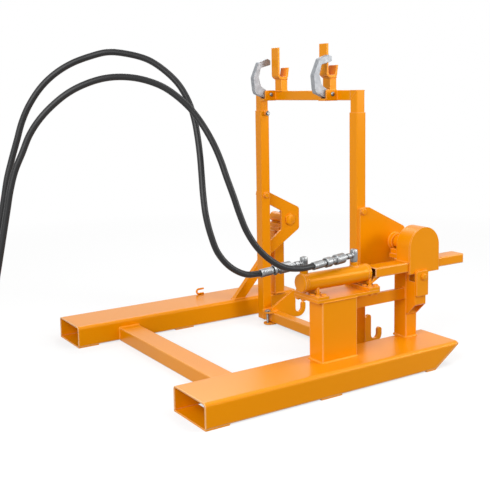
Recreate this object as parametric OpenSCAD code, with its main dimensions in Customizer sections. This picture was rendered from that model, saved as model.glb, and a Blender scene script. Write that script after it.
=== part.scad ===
// Wheelie bin tipper: a fork-mounted frame that grips a wheeled bin and tips it forwards.
// A hydraulic cylinder pushes and pulls a rack, which turns a pinion on the tilting frame's shaft.
// Millimetres, +X forwards from the fork pockets' mouths, +Z up. The origin is on the floor, midway along
// and across.

/* [Fork pockets] */
// Length of a fork pocket along its top
pocket_length = 992; // [900:2:1100]
// Outer width of a fork pocket
pocket_width = 186; // [160:2:220]
// Height of a fork pocket from the floor to its top
pocket_height = 80; // [70:1:100]
// Sheet thickness of a fork pocket
pocket_wall = 5; // [3:0.5:6]
// Outer bend radius of a fork pocket's top edges
pocket_bend = 12; // [8:1:16]
// Distance between the middles of the two fork pockets
pocket_pitch = 930; // [900:2:980]
// Length of the bevelled nose
nose_length = 107; // [80:1:130]
// Thickness of the bottom straps and of the nose plate
strap_thickness = 5; // [4:0.5:8]
// Width of a bottom strap
strap_width = 80; // [60:2:100]
// Distance from the rear end to the middle strap
middle_strap_start = 406; // [300:2:440]
// Depth of the rear cross tube along X
cross_tube_depth = 80; // [60:2:100]
// Height of the rear cross tube
cross_tube_height = 50; // [40:1:60]
// Wall of the rear cross tube
cross_tube_wall = 4; // [3:0.5:6]
// Distance from the rear end to the cross tube
cross_tube_start = 166; // [120:2:220]

/* [Stanchions and pedestal] */
// Side of the stanchion tubes along X
stanchion_side = 50; // [46:1:56]
// Depth of the stanchion tubes along Y
stanchion_depth = 60; // [54:1:62]
// Wall of the stanchion and column tubes
stanchion_wall = 4; // [3:0.5:5]
// Distance from the stanchions' middle back from the pivot axis
stanchion_setback = 17; // [14:1:20]
// Distance from the middle plane to a stanchion's middle
stanchion_offset = 394; // [392:1:397]
// Width across the far brace bar, square to its length
brace_depth = 41; // [30:1:50]
// Thickness of the far brace bar
brace_thickness = 20; // [10:1:30]
// How far the brace's foot stands behind the stanchion
brace_reach = 196; // [150:2:240]
// How high the brace meets the stanchion above the pocket
brace_rise = 220; // [180:2:230]
// Length of the pedestal column along X
column_length = 140; // [120:2:150]
// Depth of the pedestal column along Y
column_depth = 70; // [60:1:80]
// Distance from the rear end to the column
column_start = 474; // [465:1:480]
// Length of the pedestal's top plate
top_plate_length = 255; // [250:1:270]
// Depth of the pedestal's top plate
top_plate_depth = 127; // [122:1:140]
// Thickness of the pedestal's top plate and of the foot pads
top_plate_thickness = 10; // [6:1:12]
// Height of the tie bar, a flat bar on edge
tie_bar_height = 38; // [30:1:50]
// Thickness of the tie bar
tie_bar_thickness = 12; // [8:1:16]

/* [Cylinder] */
// Outer diameter of the barrel
barrel_diameter = 57; // [52:1:60]
// Bore of the barrel
barrel_bore = 45; // [40:1:46]
// Length of the cylinder over its end cap and gland
cylinder_length = 274; // [266:1:280]
// Height of the cylinder's axis above the underside of the pedestal's top plate
cylinder_rise = 62; // [61:0.5:64]
// Thickness of the end cap outside the barrel
end_cap_thickness = 4; // [3:0.5:4]
// Length of the gland
gland_length = 12; // [8:1:16]
// Length of the piston
piston_length = 30; // [24:1:34]
// Diameter of the piston rod
rod_diameter = 20; // [16:1:22]
// Gap between the cylinder's front end and the rack tube
cylinder_gap = 13; // [11:1:15]
// Distance from the cylinder's rear end to the piston's middle at rest
piston_rest = 185; // [182:1:190]
// Distance from the cylinder's rear end to the rear port
rear_port_place = 17; // [16:1:20]
// Distance from the cylinder's rear end to the front port
front_port_place = 219; // [216:1:224]
// Diameter of a port boss
port_boss_diameter = 26; // [22:1:30]
// Height of a port boss's top above the cylinder's axis
port_boss_height = 41; // [38:1:44]
// Distance from the cylinder's rear end to the rear foot
rear_foot_place = 35; // [33:1:37]
// Length of a foot pad
foot_pad_length = 45; // [43:1:50]
// Width across the flats of the foot bolts
foot_bolt_flats = 15; // [12:1:15]

/* [Rack and pinion] */
// Gear module, the pitch diameter for each tooth
gear_module = 4; // [4:0.05:4.1]
// Number of teeth on the pinion
pinion_teeth = 29; // [28:1:29]
// Length of the pinion along its shaft
pinion_width = 38; // [30:1:40]
// Length of the rack
rack_length = 220; // [214:1:224]
// Width of the rack
rack_width = 40; // [36:1:44]
// How far the rack starts behind the tilt axis at rest
rack_lead = 50; // [48:1:52]
// Height of the rack's pitch line above the cylinder's axis
rack_line_rise = 5; // [4.5:0.25:5.5]
// Height of the rack's body under its teeth
rack_body_height = 11.5; // [10:0.5:12]
// Outer width of the rack tube
rack_tube_width = 60; // [58:1:64]
// Outer height of the rack tube
rack_tube_height = 32; // [31:0.5:34]
// Wall of the rack tube
rack_tube_wall = 3; // [2:0.5:3]
// Length of the rack tube
rack_tube_length = 410; // [406:1:420]
// Thickness of the rack tube's end plate
tube_end_plate = 5; // [3:0.5:8]
// Gap between the rack's end and the tube's end plate at rest
rack_end_gap = 22; // [18:1:24]
// Gap between the pinion's teeth and the housing's rim
housing_gap = 1; // [1:0.25:4]
// Thickness of the housing's rim
housing_rim = 4; // [3:0.5:4]
// Thickness of the housing's cover and back plate
housing_plate = 6; // [4:0.5:7]

/* [Pivot] */
// Height of the tilt axis above the floor
pivot_height = 400; // [398:1:402]
// Distance from the rear end to the tilt axis
pivot_start = 920; // [918:1:924]
// Diameter of the drive shaft and the stub shaft
shaft_diameter = 32; // [28:1:34]
// Wall of the bearing bushes
bush_wall = 2.5; // [2:0.25:3]
// Wall of the bearing tubes
bearing_wall = 3.5; // [3:0.25:5]
// Length of the near bearing tube
near_bearing_length = 64; // [50:1:64]
// Length of the far bearing tube
far_bearing_length = 101; // [98:1:110]
// Thickness of the lower bearing seat plate
lower_seat_thickness = 14; // [8:1:16]
// Diameter of the collar on the near pivot plate
collar_diameter = 58; // [50:1:62]

/* [Tilting frame] */
// Side of the square outer posts
post_side = 40; // [38:1:44]
// Wall of the outer posts
post_wall = 2; // [1.5:0.25:2.25]
// Distance from the posts' middle back from the tilt axis
post_setback = 145; // [140:1:160]
// Distance from the middle plane to an outer post's middle
post_offset = 290; // [280:1:294]
// Height of the posts' bottom above the floor
post_bottom = 10; // [8:1:16]
// Height of the outer posts' top above the floor
post_top = 854; // [840:1:854]
// Thickness of the pivot plates
pivot_plate_thickness = 10; // [8:1:12]
// Thickness of an axle hook plate
hook_thickness = 10; // [8:1:14]
// Distance from the middle plane to an axle hook's middle
hook_offset = 232; // [220:1:240]
// Width of the axle hook's slot
hook_slot = 31; // [25:1:34]

/* [Top frame and claws] */
// Side of the square sliding posts
slider_side = 35; // [32:0.5:35]
// Wall of the sliding posts and the top crossbar
slider_wall = 2.5; // [2:0.25:3]
// Height of the top crossbar's top above the floor
slider_top = 930; // [930:1:940]
// Length of a sliding post
slider_length = 350; // [320:2:360]
// Distance from the middle plane to a rim cradle's middle
cradle_offset = 147; // [140:1:147]
// Width of the cradle's flat bar
cradle_width = 42; // [36:1:42]
// Thickness of the cradle's flat bar
cradle_thickness = 8; // [6:0.5:8]
// Height of the cradle's tall leg above the top crossbar
cradle_rise = 162; // [140:1:166]
// Distance from the middle plane to a claw's middle
claw_offset = 186; // [186:1:200]
// Thickness of a claw
claw_thickness = 20; // [16:1:22]
// Diameter of a claw's pivot bolt
claw_bolt_diameter = 12; // [10:1:14]
// Thickness of a clevis cheek
cheek_thickness = 6; // [4:0.5:6]

/* [Hydraulic lines] */
// Outer diameter of the hoses
hose_diameter = 19; // [16:1:20]
// Diameter of a hose ferrule
ferrule_diameter = 25; // [22:1:28]
// Length of a hose coupler
coupler_length = 70; // [60:1:90]
// Diameter of a hose coupler
coupler_diameter = 30; // [24:1:30]

/* [Clearances] */
// Radial clearance of a shaft or rod in its bearing
running_fit = 0.05; // [0.02:0.01:0.1]
// Gap between pieces that slide or swing past each other
slide_gap = 0.3; // [0.2:0.05:0.5]
// Radial clearance of a bolt in its hole
bolt_gap = 0.25; // [0.1:0.05:0.5]

/* [Hidden] */
$fn = 64;
PAINT = [0.93, 0.54, 0.05];
ZINC = [0.70, 0.71, 0.73];
STEEL = [0.55, 0.56, 0.58];
BRONZE = [0.72, 0.53, 0.27];
RUBBER = [0.13, 0.13, 0.13];

// Distance from the pockets' rear ends to the origin
origin_start = 558.5;
// Overlap that keeps cuts clean
cut = 1;
// Edge radius of tubes and bars
tube_edge = 3;

function from_rear(distance) = distance - origin_start;

// Fork pockets
rear_x = from_rear(0);
nose_tip_x = rear_x + pocket_length;
nose_start_x = nose_tip_x - nose_length;
pocket_inner_y = pocket_pitch / 2 - pocket_width / 2;
nose_flat = 40;

// Pivot, stanchions and posts
pivot_x = from_rear(pivot_start);
stanchion_x = pivot_x - stanchion_setback;
post_x = pivot_x - post_setback;
post_back_x = post_x - post_side / 2;
post_front_x = post_x + post_side / 2;
post_inner_y = post_offset - post_side / 2;
post_outer_y = post_offset + post_side / 2;
plate_outer_y = post_outer_y + pivot_plate_thickness;

// Rack, pinion and cylinder on one line
line_y = -432;
pitch_radius = gear_module * pinion_teeth / 2;
pitch_z = pivot_height - pitch_radius;
tooth_tip = gear_module;
tooth_root = 1.25 * gear_module;
backlash = 0.1;
pressure_angle = 20;
rack_bottom_z = pitch_z - tooth_root - rack_body_height;
cylinder_height = pitch_z - rack_line_rise;
housing_radius = pitch_radius + tooth_tip + housing_gap + housing_rim;
rack_tube_bottom_z = cylinder_height - rack_tube_height / 2 - 1;
rack_tube_top_z = rack_tube_bottom_z + rack_tube_height;
rack_start_x = pivot_x - rack_lead;
rack_tube_end_x = rack_start_x + rack_length + rack_end_gap + tube_end_plate;
rack_tube_start_x = rack_tube_end_x - rack_tube_length;
coupling_length = 25;
coupling_radius = 11;
cylinder_end_x = rack_tube_start_x - cylinder_gap;
cylinder_start_x = cylinder_end_x - cylinder_length;
piston_x = cylinder_start_x + piston_rest;
housing_back_y = line_y + rack_tube_width / 2;
housing_front_y = line_y - rack_tube_width / 2;
housing_bottom_z = rack_tube_bottom_z - 8;

// Bearings
shaft_radius = shaft_diameter / 2;
bush_radius = shaft_radius + bush_wall;
bearing_radius = bush_radius + bearing_wall;
collar_length = 16;
near_bearing_y = -plate_outer_y - collar_length - near_bearing_length;
far_bearing_y = plate_outer_y + 6;
groove_depth = 2;
seat_top_z = pivot_height - bearing_radius + groove_depth;
seat_bottom_z = seat_top_z - 2 * lower_seat_thickness - groove_depth;

// Pedestal
column_x = from_rear(column_start);
top_plate_x = cylinder_start_x + rear_foot_place;
top_plate_y = -480;
column_y = -478;
pedestal_top_z = cylinder_height - cylinder_rise;
tie_bar_drop = 20;
pad_bottom_z = pedestal_top_z + top_plate_thickness;
pad_top_z = pad_bottom_z + top_plate_thickness;
rear_pad_x = top_plate_x;
front_pad_x = top_plate_x + top_plate_length - foot_pad_length;
bolt_inset = 8;
bolt_row_x = [bolt_inset, bolt_inset + 25];
bolt_row_y = [13, 40, top_plate_depth - 40, top_plate_depth - 13];
foot_bolt_radius = 4;
saddle_thickness = 8;

// Sliding frame and claws
slider_start_z = slider_top - slider_length;
crossbar_back_x = post_x - slider_side / 2;
crossbar_bottom_z = slider_top - slider_side;
claw_pivot_x = crossbar_back_x - 20.5;
claw_pivot_z = slider_top - 12.5;
claw_boss_radius = 15;
cheek_outer = claw_thickness / 2 + 2 + cheek_thickness;

// Hose routes: [x, y, z] from the fittings over the arch and down to the floor
upper_route = [
    [-285, -432, 388], [-340, -435, 394], [-392, -434, 423], [-429, -428, 468],
    [-449, -423, 523], [-458, -413, 579], [-457, -399, 635], [-452, -384, 690],
    [-447, -369, 745], [-442, -349, 800], [-441, -329, 855], [-445, -305, 905],
    [-464, -281, 956], [-497, -256, 998], [-538, -231, 1030], [-589, -205, 1047],
    [-640, -180, 1053], [-689, -156, 1041], [-739, -136, 1021], [-783, -117, 992],
    [-819, -96, 954], [-850, -80, 905], [-870, -65, 855], [-885, -55, 800],
    [-900, -45, 745], [-915, -40, 690], [-925, -35, 635], [-935, -30, 580],
    [-945, -25, 520], [-955, -20, 465], [-965, -15, 405], [-975, -10, 350],
    [-985, -10, 290], [-995, -10, 235], [-1010, -10, 180], [-1035, -10, 130],
    [-1070, -10, 85], [-1115, -10, 45], [-1165, -10, 20], [-1220, -10, 15]];
lower_route = [
    [-122, -478, 397], [-175, -485, 398], [-233, -484, 409], [-281, -478, 438],
    [-322, -472, 479], [-350, -462, 527], [-368, -453, 579], [-381, -444, 629],
    [-395, -430, 685], [-405, -415, 735], [-420, -400, 785], [-440, -380, 835],
    [-465, -360, 880], [-500, -340, 920], [-540, -320, 951], [-590, -300, 971],
    [-640, -280, 979], [-690, -261, 976], [-739, -241, 961], [-784, -221, 937],
    [-824, -201, 903], [-859, -186, 864], [-885, -170, 820], [-905, -160, 770],
    [-925, -150, 720], [-940, -145, 665], [-950, -140, 610], [-960, -135, 555],
    [-970, -130, 500], [-980, -125, 445], [-990, -120, 390], [-995, -115, 335],
    [-1005, -115, 280], [-1015, -115, 225], [-1030, -115, 170], [-1055, -115, 120],
    [-1085, -115, 75], [-1125, -110, 40], [-1175, -110, 20], [-1230, -110, 15]];
hose_sides = 10;
elbow_z = cylinder_height + 64;
rear_port = [cylinder_start_x + rear_port_place, line_y, elbow_z];
front_port = [cylinder_start_x + front_port_place, line_y, elbow_z];

// Outline with each corner [x, y, radius] rounded by an arc of six steps
function unit(v) = v / norm(v);
function rounded(corners) = [
    for (i = [0 : len(corners) - 1])
        let (
            here = corners[i],
            before = corners[(i + len(corners) - 1) % len(corners)],
            after = corners[(i + 1) % len(corners)],
            p = [here[0], here[1]],
            a = unit([before[0], before[1]] - p),
            b = unit([after[0], after[1]] - p),
            half = acos(a * b) / 2,
            centre = p + unit(a + b) * here[2] / sin(half),
            first = p + a * here[2] / tan(half) - centre,
            last = p + b * here[2] / tan(half) - centre,
            start = atan2(first[1], first[0]),
            turn = atan2(first[0] * last[1] - first[1] * last[0], first * last),
            steps = here[2] > 0 ? 6 : 0
        )
        for (k = [0 : steps])
            here[2] > 0
                ? centre + here[2] * [cos(start + turn * k / steps), sin(start + turn * k / steps)]
                : p];

// Points of an arc about a centre, from one angle to another
function arc(centre, radius, from, to, steps = 12) = [
    for (k = [0 : steps])
        let (angle = from + (to - from) * k / steps)
        centre + radius * [cos(angle), sin(angle)]];

// A rounded rectangle from its low corner
function rounded_box(x, y, w, h, r) = rounded([[x, y, r], [x + w, y, r], [x + w, y + h, r], [x, y + h, r]]);

// An outline in X and Z, carried along Y from y by length
module along_y(y, length) {
    translate([0, y + length, 0]) rotate([90, 0, 0]) linear_extrude(length) children();
}

// An outline in Y and Z, carried along X from x by length
module along_x(x, length) {
    translate([x, 0, 0]) rotate([90, 0, 90]) linear_extrude(length) children();
}

// An outline in X and Y, carried upwards from z by length
module along_z(z, length) {
    translate([0, 0, z]) linear_extrude(length) children();
}

module round_y(x, z, radius, y, length) {
    translate([x, y, z]) rotate([-90, 0, 0]) cylinder(r = radius, h = length);
}

module round_x(y, z, radius, x, length) {
    translate([x, y, z]) rotate([0, 90, 0]) cylinder(r = radius, h = length);
}

module round_z(x, y, radius, z, length) {
    translate([x, y, z]) cylinder(r = radius, h = length);
}

// A hexagon prism from its width across the flats
module hexagon(flats, length) {
    cylinder(r = flats / 2 / cos(30), h = length, $fn = 6);
}

module at_both_sides() {
    children();
    mirror([0, 1, 0]) children();
}

// Upright square tube, open at both ends
module upright_tube(x, y, side_x, side_y, wall, z, length) {
    along_z(z, length) difference() {
        polygon(rounded_box(x - side_x / 2, y - side_y / 2, side_x, side_y, tube_edge));
        polygon(rounded_box(x - side_x / 2 + wall, y - side_y / 2 + wall,
            side_x - 2 * wall, side_y - 2 * wall, tube_edge / 2));
    }
}

// Rectangular tube lying along Y
module cross_tube(x, z, side_x, side_z, wall, y, length) {
    along_y(y, length) difference() {
        polygon(rounded_box(x, z, side_x, side_z, tube_edge));
        polygon(rounded_box(x + wall, z + wall, side_x - 2 * wall, side_z - 2 * wall, tube_edge / 2));
    }
}

// Fork pocket: a channel of bent sheet, open below, with its nose cut to a bevel
nose_slope = (pocket_height - pocket_wall - strap_thickness) / nose_length;
module fork_pocket(side) {
    y = side * pocket_pitch / 2 - pocket_width / 2;
    difference() {
        along_x(rear_x, pocket_length) difference() {
            polygon(rounded([
                [y, strap_thickness, 0], [y + pocket_width, strap_thickness, 0],
                [y + pocket_width, pocket_height, pocket_bend], [y, pocket_height, pocket_bend]]));
            polygon(rounded([
                [y + pocket_wall, -cut, 0], [y + pocket_width - pocket_wall, -cut, 0],
                [y + pocket_width - pocket_wall, pocket_height - pocket_wall, pocket_bend - pocket_wall],
                [y + pocket_wall, pocket_height - pocket_wall, pocket_bend - pocket_wall]]));
        }
        along_y(y - cut, pocket_width + 2 * cut) polygon([
            [nose_start_x, strap_thickness],
            [nose_tip_x + cut, strap_thickness + nose_slope * (nose_length + cut)],
            [nose_tip_x + cut, -cut], [nose_start_x, -cut]]);
    }
}

module near_fork_pocket() {
    color(PAINT) fork_pocket(-1);
}

module far_fork_pocket() {
    color(PAINT) fork_pocket(1);
}

// Flat straps welded across the open underside of both pockets
module bottom_straps() {
    color(PAINT)
    for (side = [-1, 1])
        for (start = [0, middle_strap_start])
            translate([from_rear(start), side * pocket_pitch / 2 - pocket_width / 2, 0])
                cube([strap_width, pocket_width, strap_thickness]);
}

// Bent plate that closes each nose
module nose_plates() {
    rise = nose_slope * nose_length;
    color(PAINT)
    for (side = [-1, 1])
        along_y(side * pocket_pitch / 2 - pocket_width / 2, pocket_width) polygon([
            [nose_start_x - nose_flat, 0], [nose_start_x, 0], [nose_tip_x, rise],
            [nose_tip_x, rise + strap_thickness], [nose_start_x, strap_thickness],
            [nose_start_x - nose_flat, strap_thickness]]);
}

module rear_cross_tube() {
    color(PAINT)
    cross_tube(from_rear(cross_tube_start), 0, cross_tube_depth, cross_tube_height, cross_tube_wall,
        -pocket_inner_y, 2 * pocket_inner_y);
}

module stanchion(side) {
    upright_tube(stanchion_x, side * stanchion_offset, stanchion_side, stanchion_depth, stanchion_wall,
        pocket_height, seat_bottom_z - pocket_height);
}

// The near stanchion is cut back at its top to take the pinion housing
module near_stanchion() {
    color(PAINT)
    difference() {
        stanchion(-1);
        translate([stanchion_x - stanchion_side, housing_back_y + 1 - stanchion_side, housing_bottom_z])
            cube([2 * stanchion_side, stanchion_side, stanchion_side * 2]);
    }
}

module far_stanchion() {
    color(PAINT) stanchion(1);
}

// Flat bar that leans from the far pocket to its stanchion
module far_brace() {
    stanchion_back_x = stanchion_x - stanchion_side / 2;
    slope = brace_rise / brace_reach;
    foot = brace_depth / sin(atan(slope));
    color(PAINT)
    along_y(stanchion_offset - brace_thickness / 2 - 5, brace_thickness) polygon([
        [stanchion_back_x - brace_reach, pocket_height],
        [stanchion_back_x - brace_reach + foot, pocket_height],
        [stanchion_back_x, pocket_height + slope * (brace_reach - foot)],
        [stanchion_back_x, pocket_height + brace_rise]]);
}

module pedestal_column() {
    color(PAINT)
    upright_tube(column_x + column_length / 2, column_y + column_depth / 2, column_length, column_depth,
        stanchion_wall, pocket_height, pedestal_top_z - pocket_height);
}

function over_column(x, y) =
    x > column_x - foot_bolt_flats && x < column_x + column_length + foot_bolt_flats
    && y < column_y + column_depth + foot_bolt_flats;

// Bolt places through the two foot pads
foot_bolt_places = [
    for (x = [for (dx = bolt_row_x) rear_pad_x + dx, for (dx = bolt_row_x) front_pad_x + foot_pad_length - dx])
        for (dy = bolt_row_y)
            [x, top_plate_y + dy]];

module foot_bolt_holes(z, length, radius) {
    for (p = foot_bolt_places)
        round_z(p[0], p[1], radius, z - cut, length + 2 * cut);
}

module pedestal_top_plate() {
    color(PAINT)
    difference() {
        along_z(pedestal_top_z, top_plate_thickness)
            polygon(rounded_box(top_plate_x, top_plate_y, top_plate_length, top_plate_depth, 2));
        foot_bolt_holes(pedestal_top_z, top_plate_thickness, foot_bolt_radius + bolt_gap);
    }
}

// Flat bar on edge between the column and the near stanchion
module tie_bar() {
    x = column_x + column_length;
    color(PAINT)
    translate([x, column_y + column_depth - tie_bar_thickness, pedestal_top_z - tie_bar_drop - tie_bar_height])
        cube([stanchion_x - stanchion_side / 2 - x, tie_bar_thickness, tie_bar_height]);
}

// Foot pads with saddle plates under the cylinder; the front one also props the rack tube
module cylinder_feet() {
    saddle_width = 48;
    bolt_room = 8;
    saddle_top_z = cylinder_height - 18;
    saddle_inset = (bolt_row_x[0] + bolt_row_x[1]) / 2 - saddle_thickness / 2;
    gusset_start_x = front_pad_x + foot_pad_length - saddle_inset - saddle_thickness;
    color(PAINT)
    difference() {
        union() {
            for (x = [rear_pad_x, front_pad_x])
                along_z(pad_bottom_z, top_plate_thickness)
                    polygon(rounded_box(x, top_plate_y, foot_pad_length, top_plate_depth, 2));
            for (x = [rear_pad_x + saddle_inset, gusset_start_x])
                translate([x, line_y - saddle_width / 2, pad_top_z])
                    cube([saddle_thickness, saddle_width, saddle_top_z - pad_top_z]);
            along_y(line_y - saddle_width / 2, saddle_width) polygon([
                [gusset_start_x, pad_top_z + bolt_room], [gusset_start_x + 13, pad_top_z + bolt_room],
                [rack_tube_start_x + 24, rack_tube_bottom_z], [rack_tube_start_x, rack_tube_bottom_z],
                [cylinder_end_x + 1, cylinder_height - barrel_diameter / 2],
                [gusset_start_x, cylinder_height - barrel_diameter / 2]]);
        }
        round_x(line_y, cylinder_height, barrel_diameter / 2, cylinder_start_x, cylinder_length);
        foot_bolt_holes(pad_bottom_z, top_plate_thickness, foot_bolt_radius + bolt_gap);
    }
}

// Hexagon bolts of the two feet, with nuts wherever the plate overhangs the column
module foot_bolts() {
    head = 6;
    nut = 7;
    shank = pad_top_z - pedestal_top_z;
    color(PAINT)
    for (p = foot_bolt_places) {
        translate([p[0], p[1], pad_top_z]) rotate(30) hexagon(foot_bolt_flats, head);
        if (over_column(p[0], p[1])) {
            round_z(p[0], p[1], foot_bolt_radius, pad_top_z - shank, shank);
        } else {
            translate([p[0], p[1], pedestal_top_z - nut]) rotate(30) hexagon(foot_bolt_flats, nut);
            round_z(p[0], p[1], foot_bolt_radius, pedestal_top_z - nut - 2, shank + nut + 2);
        }
    }
}

// Barrel with two weld ridges and two welded port bosses
module cylinder_barrel() {
    start = cylinder_start_x + end_cap_thickness;
    length = cylinder_length - end_cap_thickness - gland_length;
    ridge = 4;
    ridge_stand = 1.8;
    port_radius = 4;
    color(PAINT)
    difference() {
        union() {
            round_x(line_y, cylinder_height, barrel_diameter / 2, start, length);
            for (place = [27.5, 37])
                translate([cylinder_start_x + place, line_y, cylinder_height]) rotate([0, 90, 0])
                    rotate_extrude() translate([barrel_diameter / 2 + ridge_stand - ridge, 0])
                        circle(r = ridge, $fn = 24);
            for (place = [rear_port_place, front_port_place])
                round_z(cylinder_start_x + place, line_y, port_boss_diameter / 2, cylinder_height,
                    port_boss_height);
        }
        round_x(line_y, cylinder_height, barrel_bore / 2, start - cut, length + 2 * cut);
        for (place = [rear_port_place, front_port_place])
            round_z(cylinder_start_x + place, line_y, port_radius, cylinder_height,
                port_boss_height + cut);
    }
}

// End cap: a disc with a spigot in the bore
module cylinder_end_cap() {
    spigot = 6;
    color(PAINT) {
        round_x(line_y, cylinder_height, barrel_diameter / 2, cylinder_start_x, end_cap_thickness);
        round_x(line_y, cylinder_height, barrel_bore / 2, cylinder_start_x + end_cap_thickness / 2,
            end_cap_thickness / 2 + spigot);
    }
}

// Gland: end ring that the rod runs through
module cylinder_gland() {
    x = cylinder_end_x - gland_length;
    color(PAINT)
    difference() {
        round_x(line_y, cylinder_height, barrel_diameter / 2, x, gland_length);
        round_x(line_y, cylinder_height, rod_diameter / 2 + running_fit, x - cut, gland_length + 2 * cut);
    }
}

// Flat tube that guides the rack, open at the cylinder end, closed and rounded at the other
module rack_tube() {
    y = line_y - rack_tube_width / 2;
    end_round = 8;
    wall_bottom_z = rack_tube_top_z - rack_tube_wall;
    window = sqrt(pow(pitch_radius + tooth_tip, 2) - pow(pivot_height - wall_bottom_z, 2)) + 4;
    color(PAINT)
    difference() {
        intersection() {
            along_x(rack_tube_start_x, rack_tube_length)
                polygon(rounded_box(y, rack_tube_bottom_z, rack_tube_width, rack_tube_height, tube_edge));
            along_z(rack_tube_bottom_z - cut, rack_tube_height + 2 * cut) polygon(rounded([
                [rack_tube_start_x - cut, y - cut, 0],
                [rack_tube_start_x + rack_tube_length, y - cut, end_round],
                [rack_tube_start_x + rack_tube_length, y + rack_tube_width + cut, end_round],
                [rack_tube_start_x - cut, y + rack_tube_width + cut, 0]]));
        }
        along_x(rack_tube_start_x - cut, rack_tube_length - tube_end_plate + cut)
            polygon(rounded_box(y + rack_tube_wall, rack_tube_bottom_z + rack_tube_wall,
                rack_tube_width - 2 * rack_tube_wall, rack_tube_height - 2 * rack_tube_wall, 1));
        translate([pivot_x - window, y + rack_tube_wall, rack_tube_top_z - 2 * rack_tube_wall])
            cube([2 * window, rack_tube_width - 2 * rack_tube_wall, 3 * rack_tube_wall]);
    }
}

// Bearing strip under the rack, opposite the pinion
module rack_slide_pad() {
    length = 100;
    bottom = rack_tube_bottom_z + rack_tube_wall;
    color(BRONZE)
    translate([pivot_x - length / 2, line_y - rack_width / 2, bottom])
        cube([length, rack_width, rack_bottom_z - slide_gap - bottom]);
}

// Outline with a half-round top about the tilt axis and straight sides down to a level below it
module housing_outline(radius, bottom_z) {
    translate([pivot_x, pivot_height]) {
        intersection() {
            circle(r = radius);
            translate([-radius, 0]) square([2 * radius, radius]);
        }
        translate([-radius, bottom_z - pivot_height]) square([2 * radius, pivot_height - bottom_z]);
    }
}

// Round-topped housing: rim and back plate above the rack tube, floor plate below it
module pinion_housing() {
    back_plate_y = housing_back_y - housing_plate;
    depth = housing_back_y - housing_front_y;
    color(PAINT)
    difference() {
        union() {
            along_y(housing_front_y, depth) difference() {
                housing_outline(housing_radius, rack_tube_top_z);
                housing_outline(housing_radius - housing_rim, rack_tube_top_z - cut);
            }
            along_y(back_plate_y, housing_plate) housing_outline(housing_radius, rack_tube_top_z);
            translate([pivot_x - housing_radius, housing_front_y, housing_bottom_z])
                cube([2 * housing_radius, depth, rack_tube_bottom_z - housing_bottom_z]);
        }
        round_y(pivot_x, pivot_height, shaft_radius + 1, back_plate_y - cut, housing_plate + 2 * cut);
    }
}

module housing_cover() {
    color(PAINT)
    along_y(housing_front_y - housing_plate, housing_plate)
        housing_outline(housing_radius, housing_bottom_z);
}

// Square tube stub on the near stanchion, its foot cut at 45 degrees, with a stop block on top
bracket_y = housing_front_y - housing_plate;
bracket_depth = -stanchion_offset - stanchion_depth / 2 - bracket_y;
module housing_bracket() {
    x = stanchion_x - stanchion_side / 2;
    block_height = 29;
    block = 14;
    bracket_height = 152;
    open_top_z = housing_bottom_z - block_height;
    foot_z = housing_bottom_z - bracket_height;
    color(PAINT) {
        difference() {
            upright_tube(stanchion_x, bracket_y + bracket_depth / 2, stanchion_side, bracket_depth,
                stanchion_wall, foot_z, open_top_z - foot_z);
            along_x(x - cut, stanchion_side + 2 * cut) polygon([
                [bracket_y - cut, foot_z - cut], [bracket_y + bracket_depth, foot_z - cut],
                [bracket_y + bracket_depth, foot_z], [bracket_y - cut, foot_z + bracket_depth + cut]]);
        }
        translate([x, bracket_y + bracket_depth - block, open_top_z])
            cube([stanchion_side, block, housing_bottom_z - open_top_z]);
    }
}

// Front plate that ties the housing's foot to the bracket
clamp_plate_thickness = 10;
clamp_plate_height = 85;
clamp_plate_lap = 8;
clamp_bolt_radius = 6;
clamp_bolt_x = stanchion_x + 3;
clamp_bolt_z = housing_bottom_z - 12;
module clamp_plate() {
    x = stanchion_x - stanchion_side / 2 - 3;
    color(PAINT)
    difference() {
        along_y(bracket_y - clamp_plate_thickness, clamp_plate_thickness)
            polygon(rounded_box(x, housing_bottom_z + clamp_plate_lap - clamp_plate_height, stanchion_side + 3,
                clamp_plate_height, 3));
        round_y(clamp_bolt_x, clamp_bolt_z, clamp_bolt_radius + bolt_gap,
            bracket_y - clamp_plate_thickness - cut, clamp_plate_thickness + 2 * cut);
    }
}

module clamp_plate_bolt() {
    color(PAINT) {
        round_y(clamp_bolt_x, clamp_bolt_z, 11, bracket_y - clamp_plate_thickness - 7, 7);
        round_y(clamp_bolt_x, clamp_bolt_z, clamp_bolt_radius, bracket_y - clamp_plate_thickness,
            clamp_plate_thickness + 14);
        translate([clamp_bolt_x, bracket_y, clamp_bolt_z]) rotate([-90, 0, 0]) hexagon(18, 10);
    }
}

// Two stacked plates under each bearing tube, the upper one grooved for the tube
module bearing_seat(y, length) {
    lower = lower_seat_thickness;
    lower_length = 65;
    upper_length = 70;
    back_x = stanchion_x - stanchion_side / 2;
    difference() {
        union() {
            translate([back_x, y, seat_bottom_z]) cube([lower_length, length, lower]);
            translate([back_x + 5, y, seat_bottom_z + lower])
                cube([upper_length, length, seat_top_z - seat_bottom_z - lower]);
        }
        round_y(pivot_x, pivot_height, bearing_radius, y - cut, length + 2 * cut);
    }
}

module bearing_seats() {
    far_seat_y = far_bearing_y + 4;
    far_end_y = stanchion_offset + stanchion_depth / 2;
    near_seat_y = near_bearing_y;
    color(PAINT) {
        bearing_seat(near_seat_y, near_bearing_length - 4);
        bearing_seat(far_seat_y, far_end_y - far_seat_y);
    }
}

nipple_radius = 3;
module bearing_tubes() {
    color(PAINT)
    for (tube = [[near_bearing_y, near_bearing_length], [far_bearing_y, far_bearing_length]])
        difference() {
            round_y(pivot_x, pivot_height, bearing_radius, tube[0], tube[1]);
            round_y(pivot_x, pivot_height, bush_radius, tube[0] - cut, tube[1] + 2 * cut);
            round_z(pivot_x, tube[0] + tube[1] / 2, nipple_radius, pivot_height, 2 * bearing_radius);
        }
}

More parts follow.
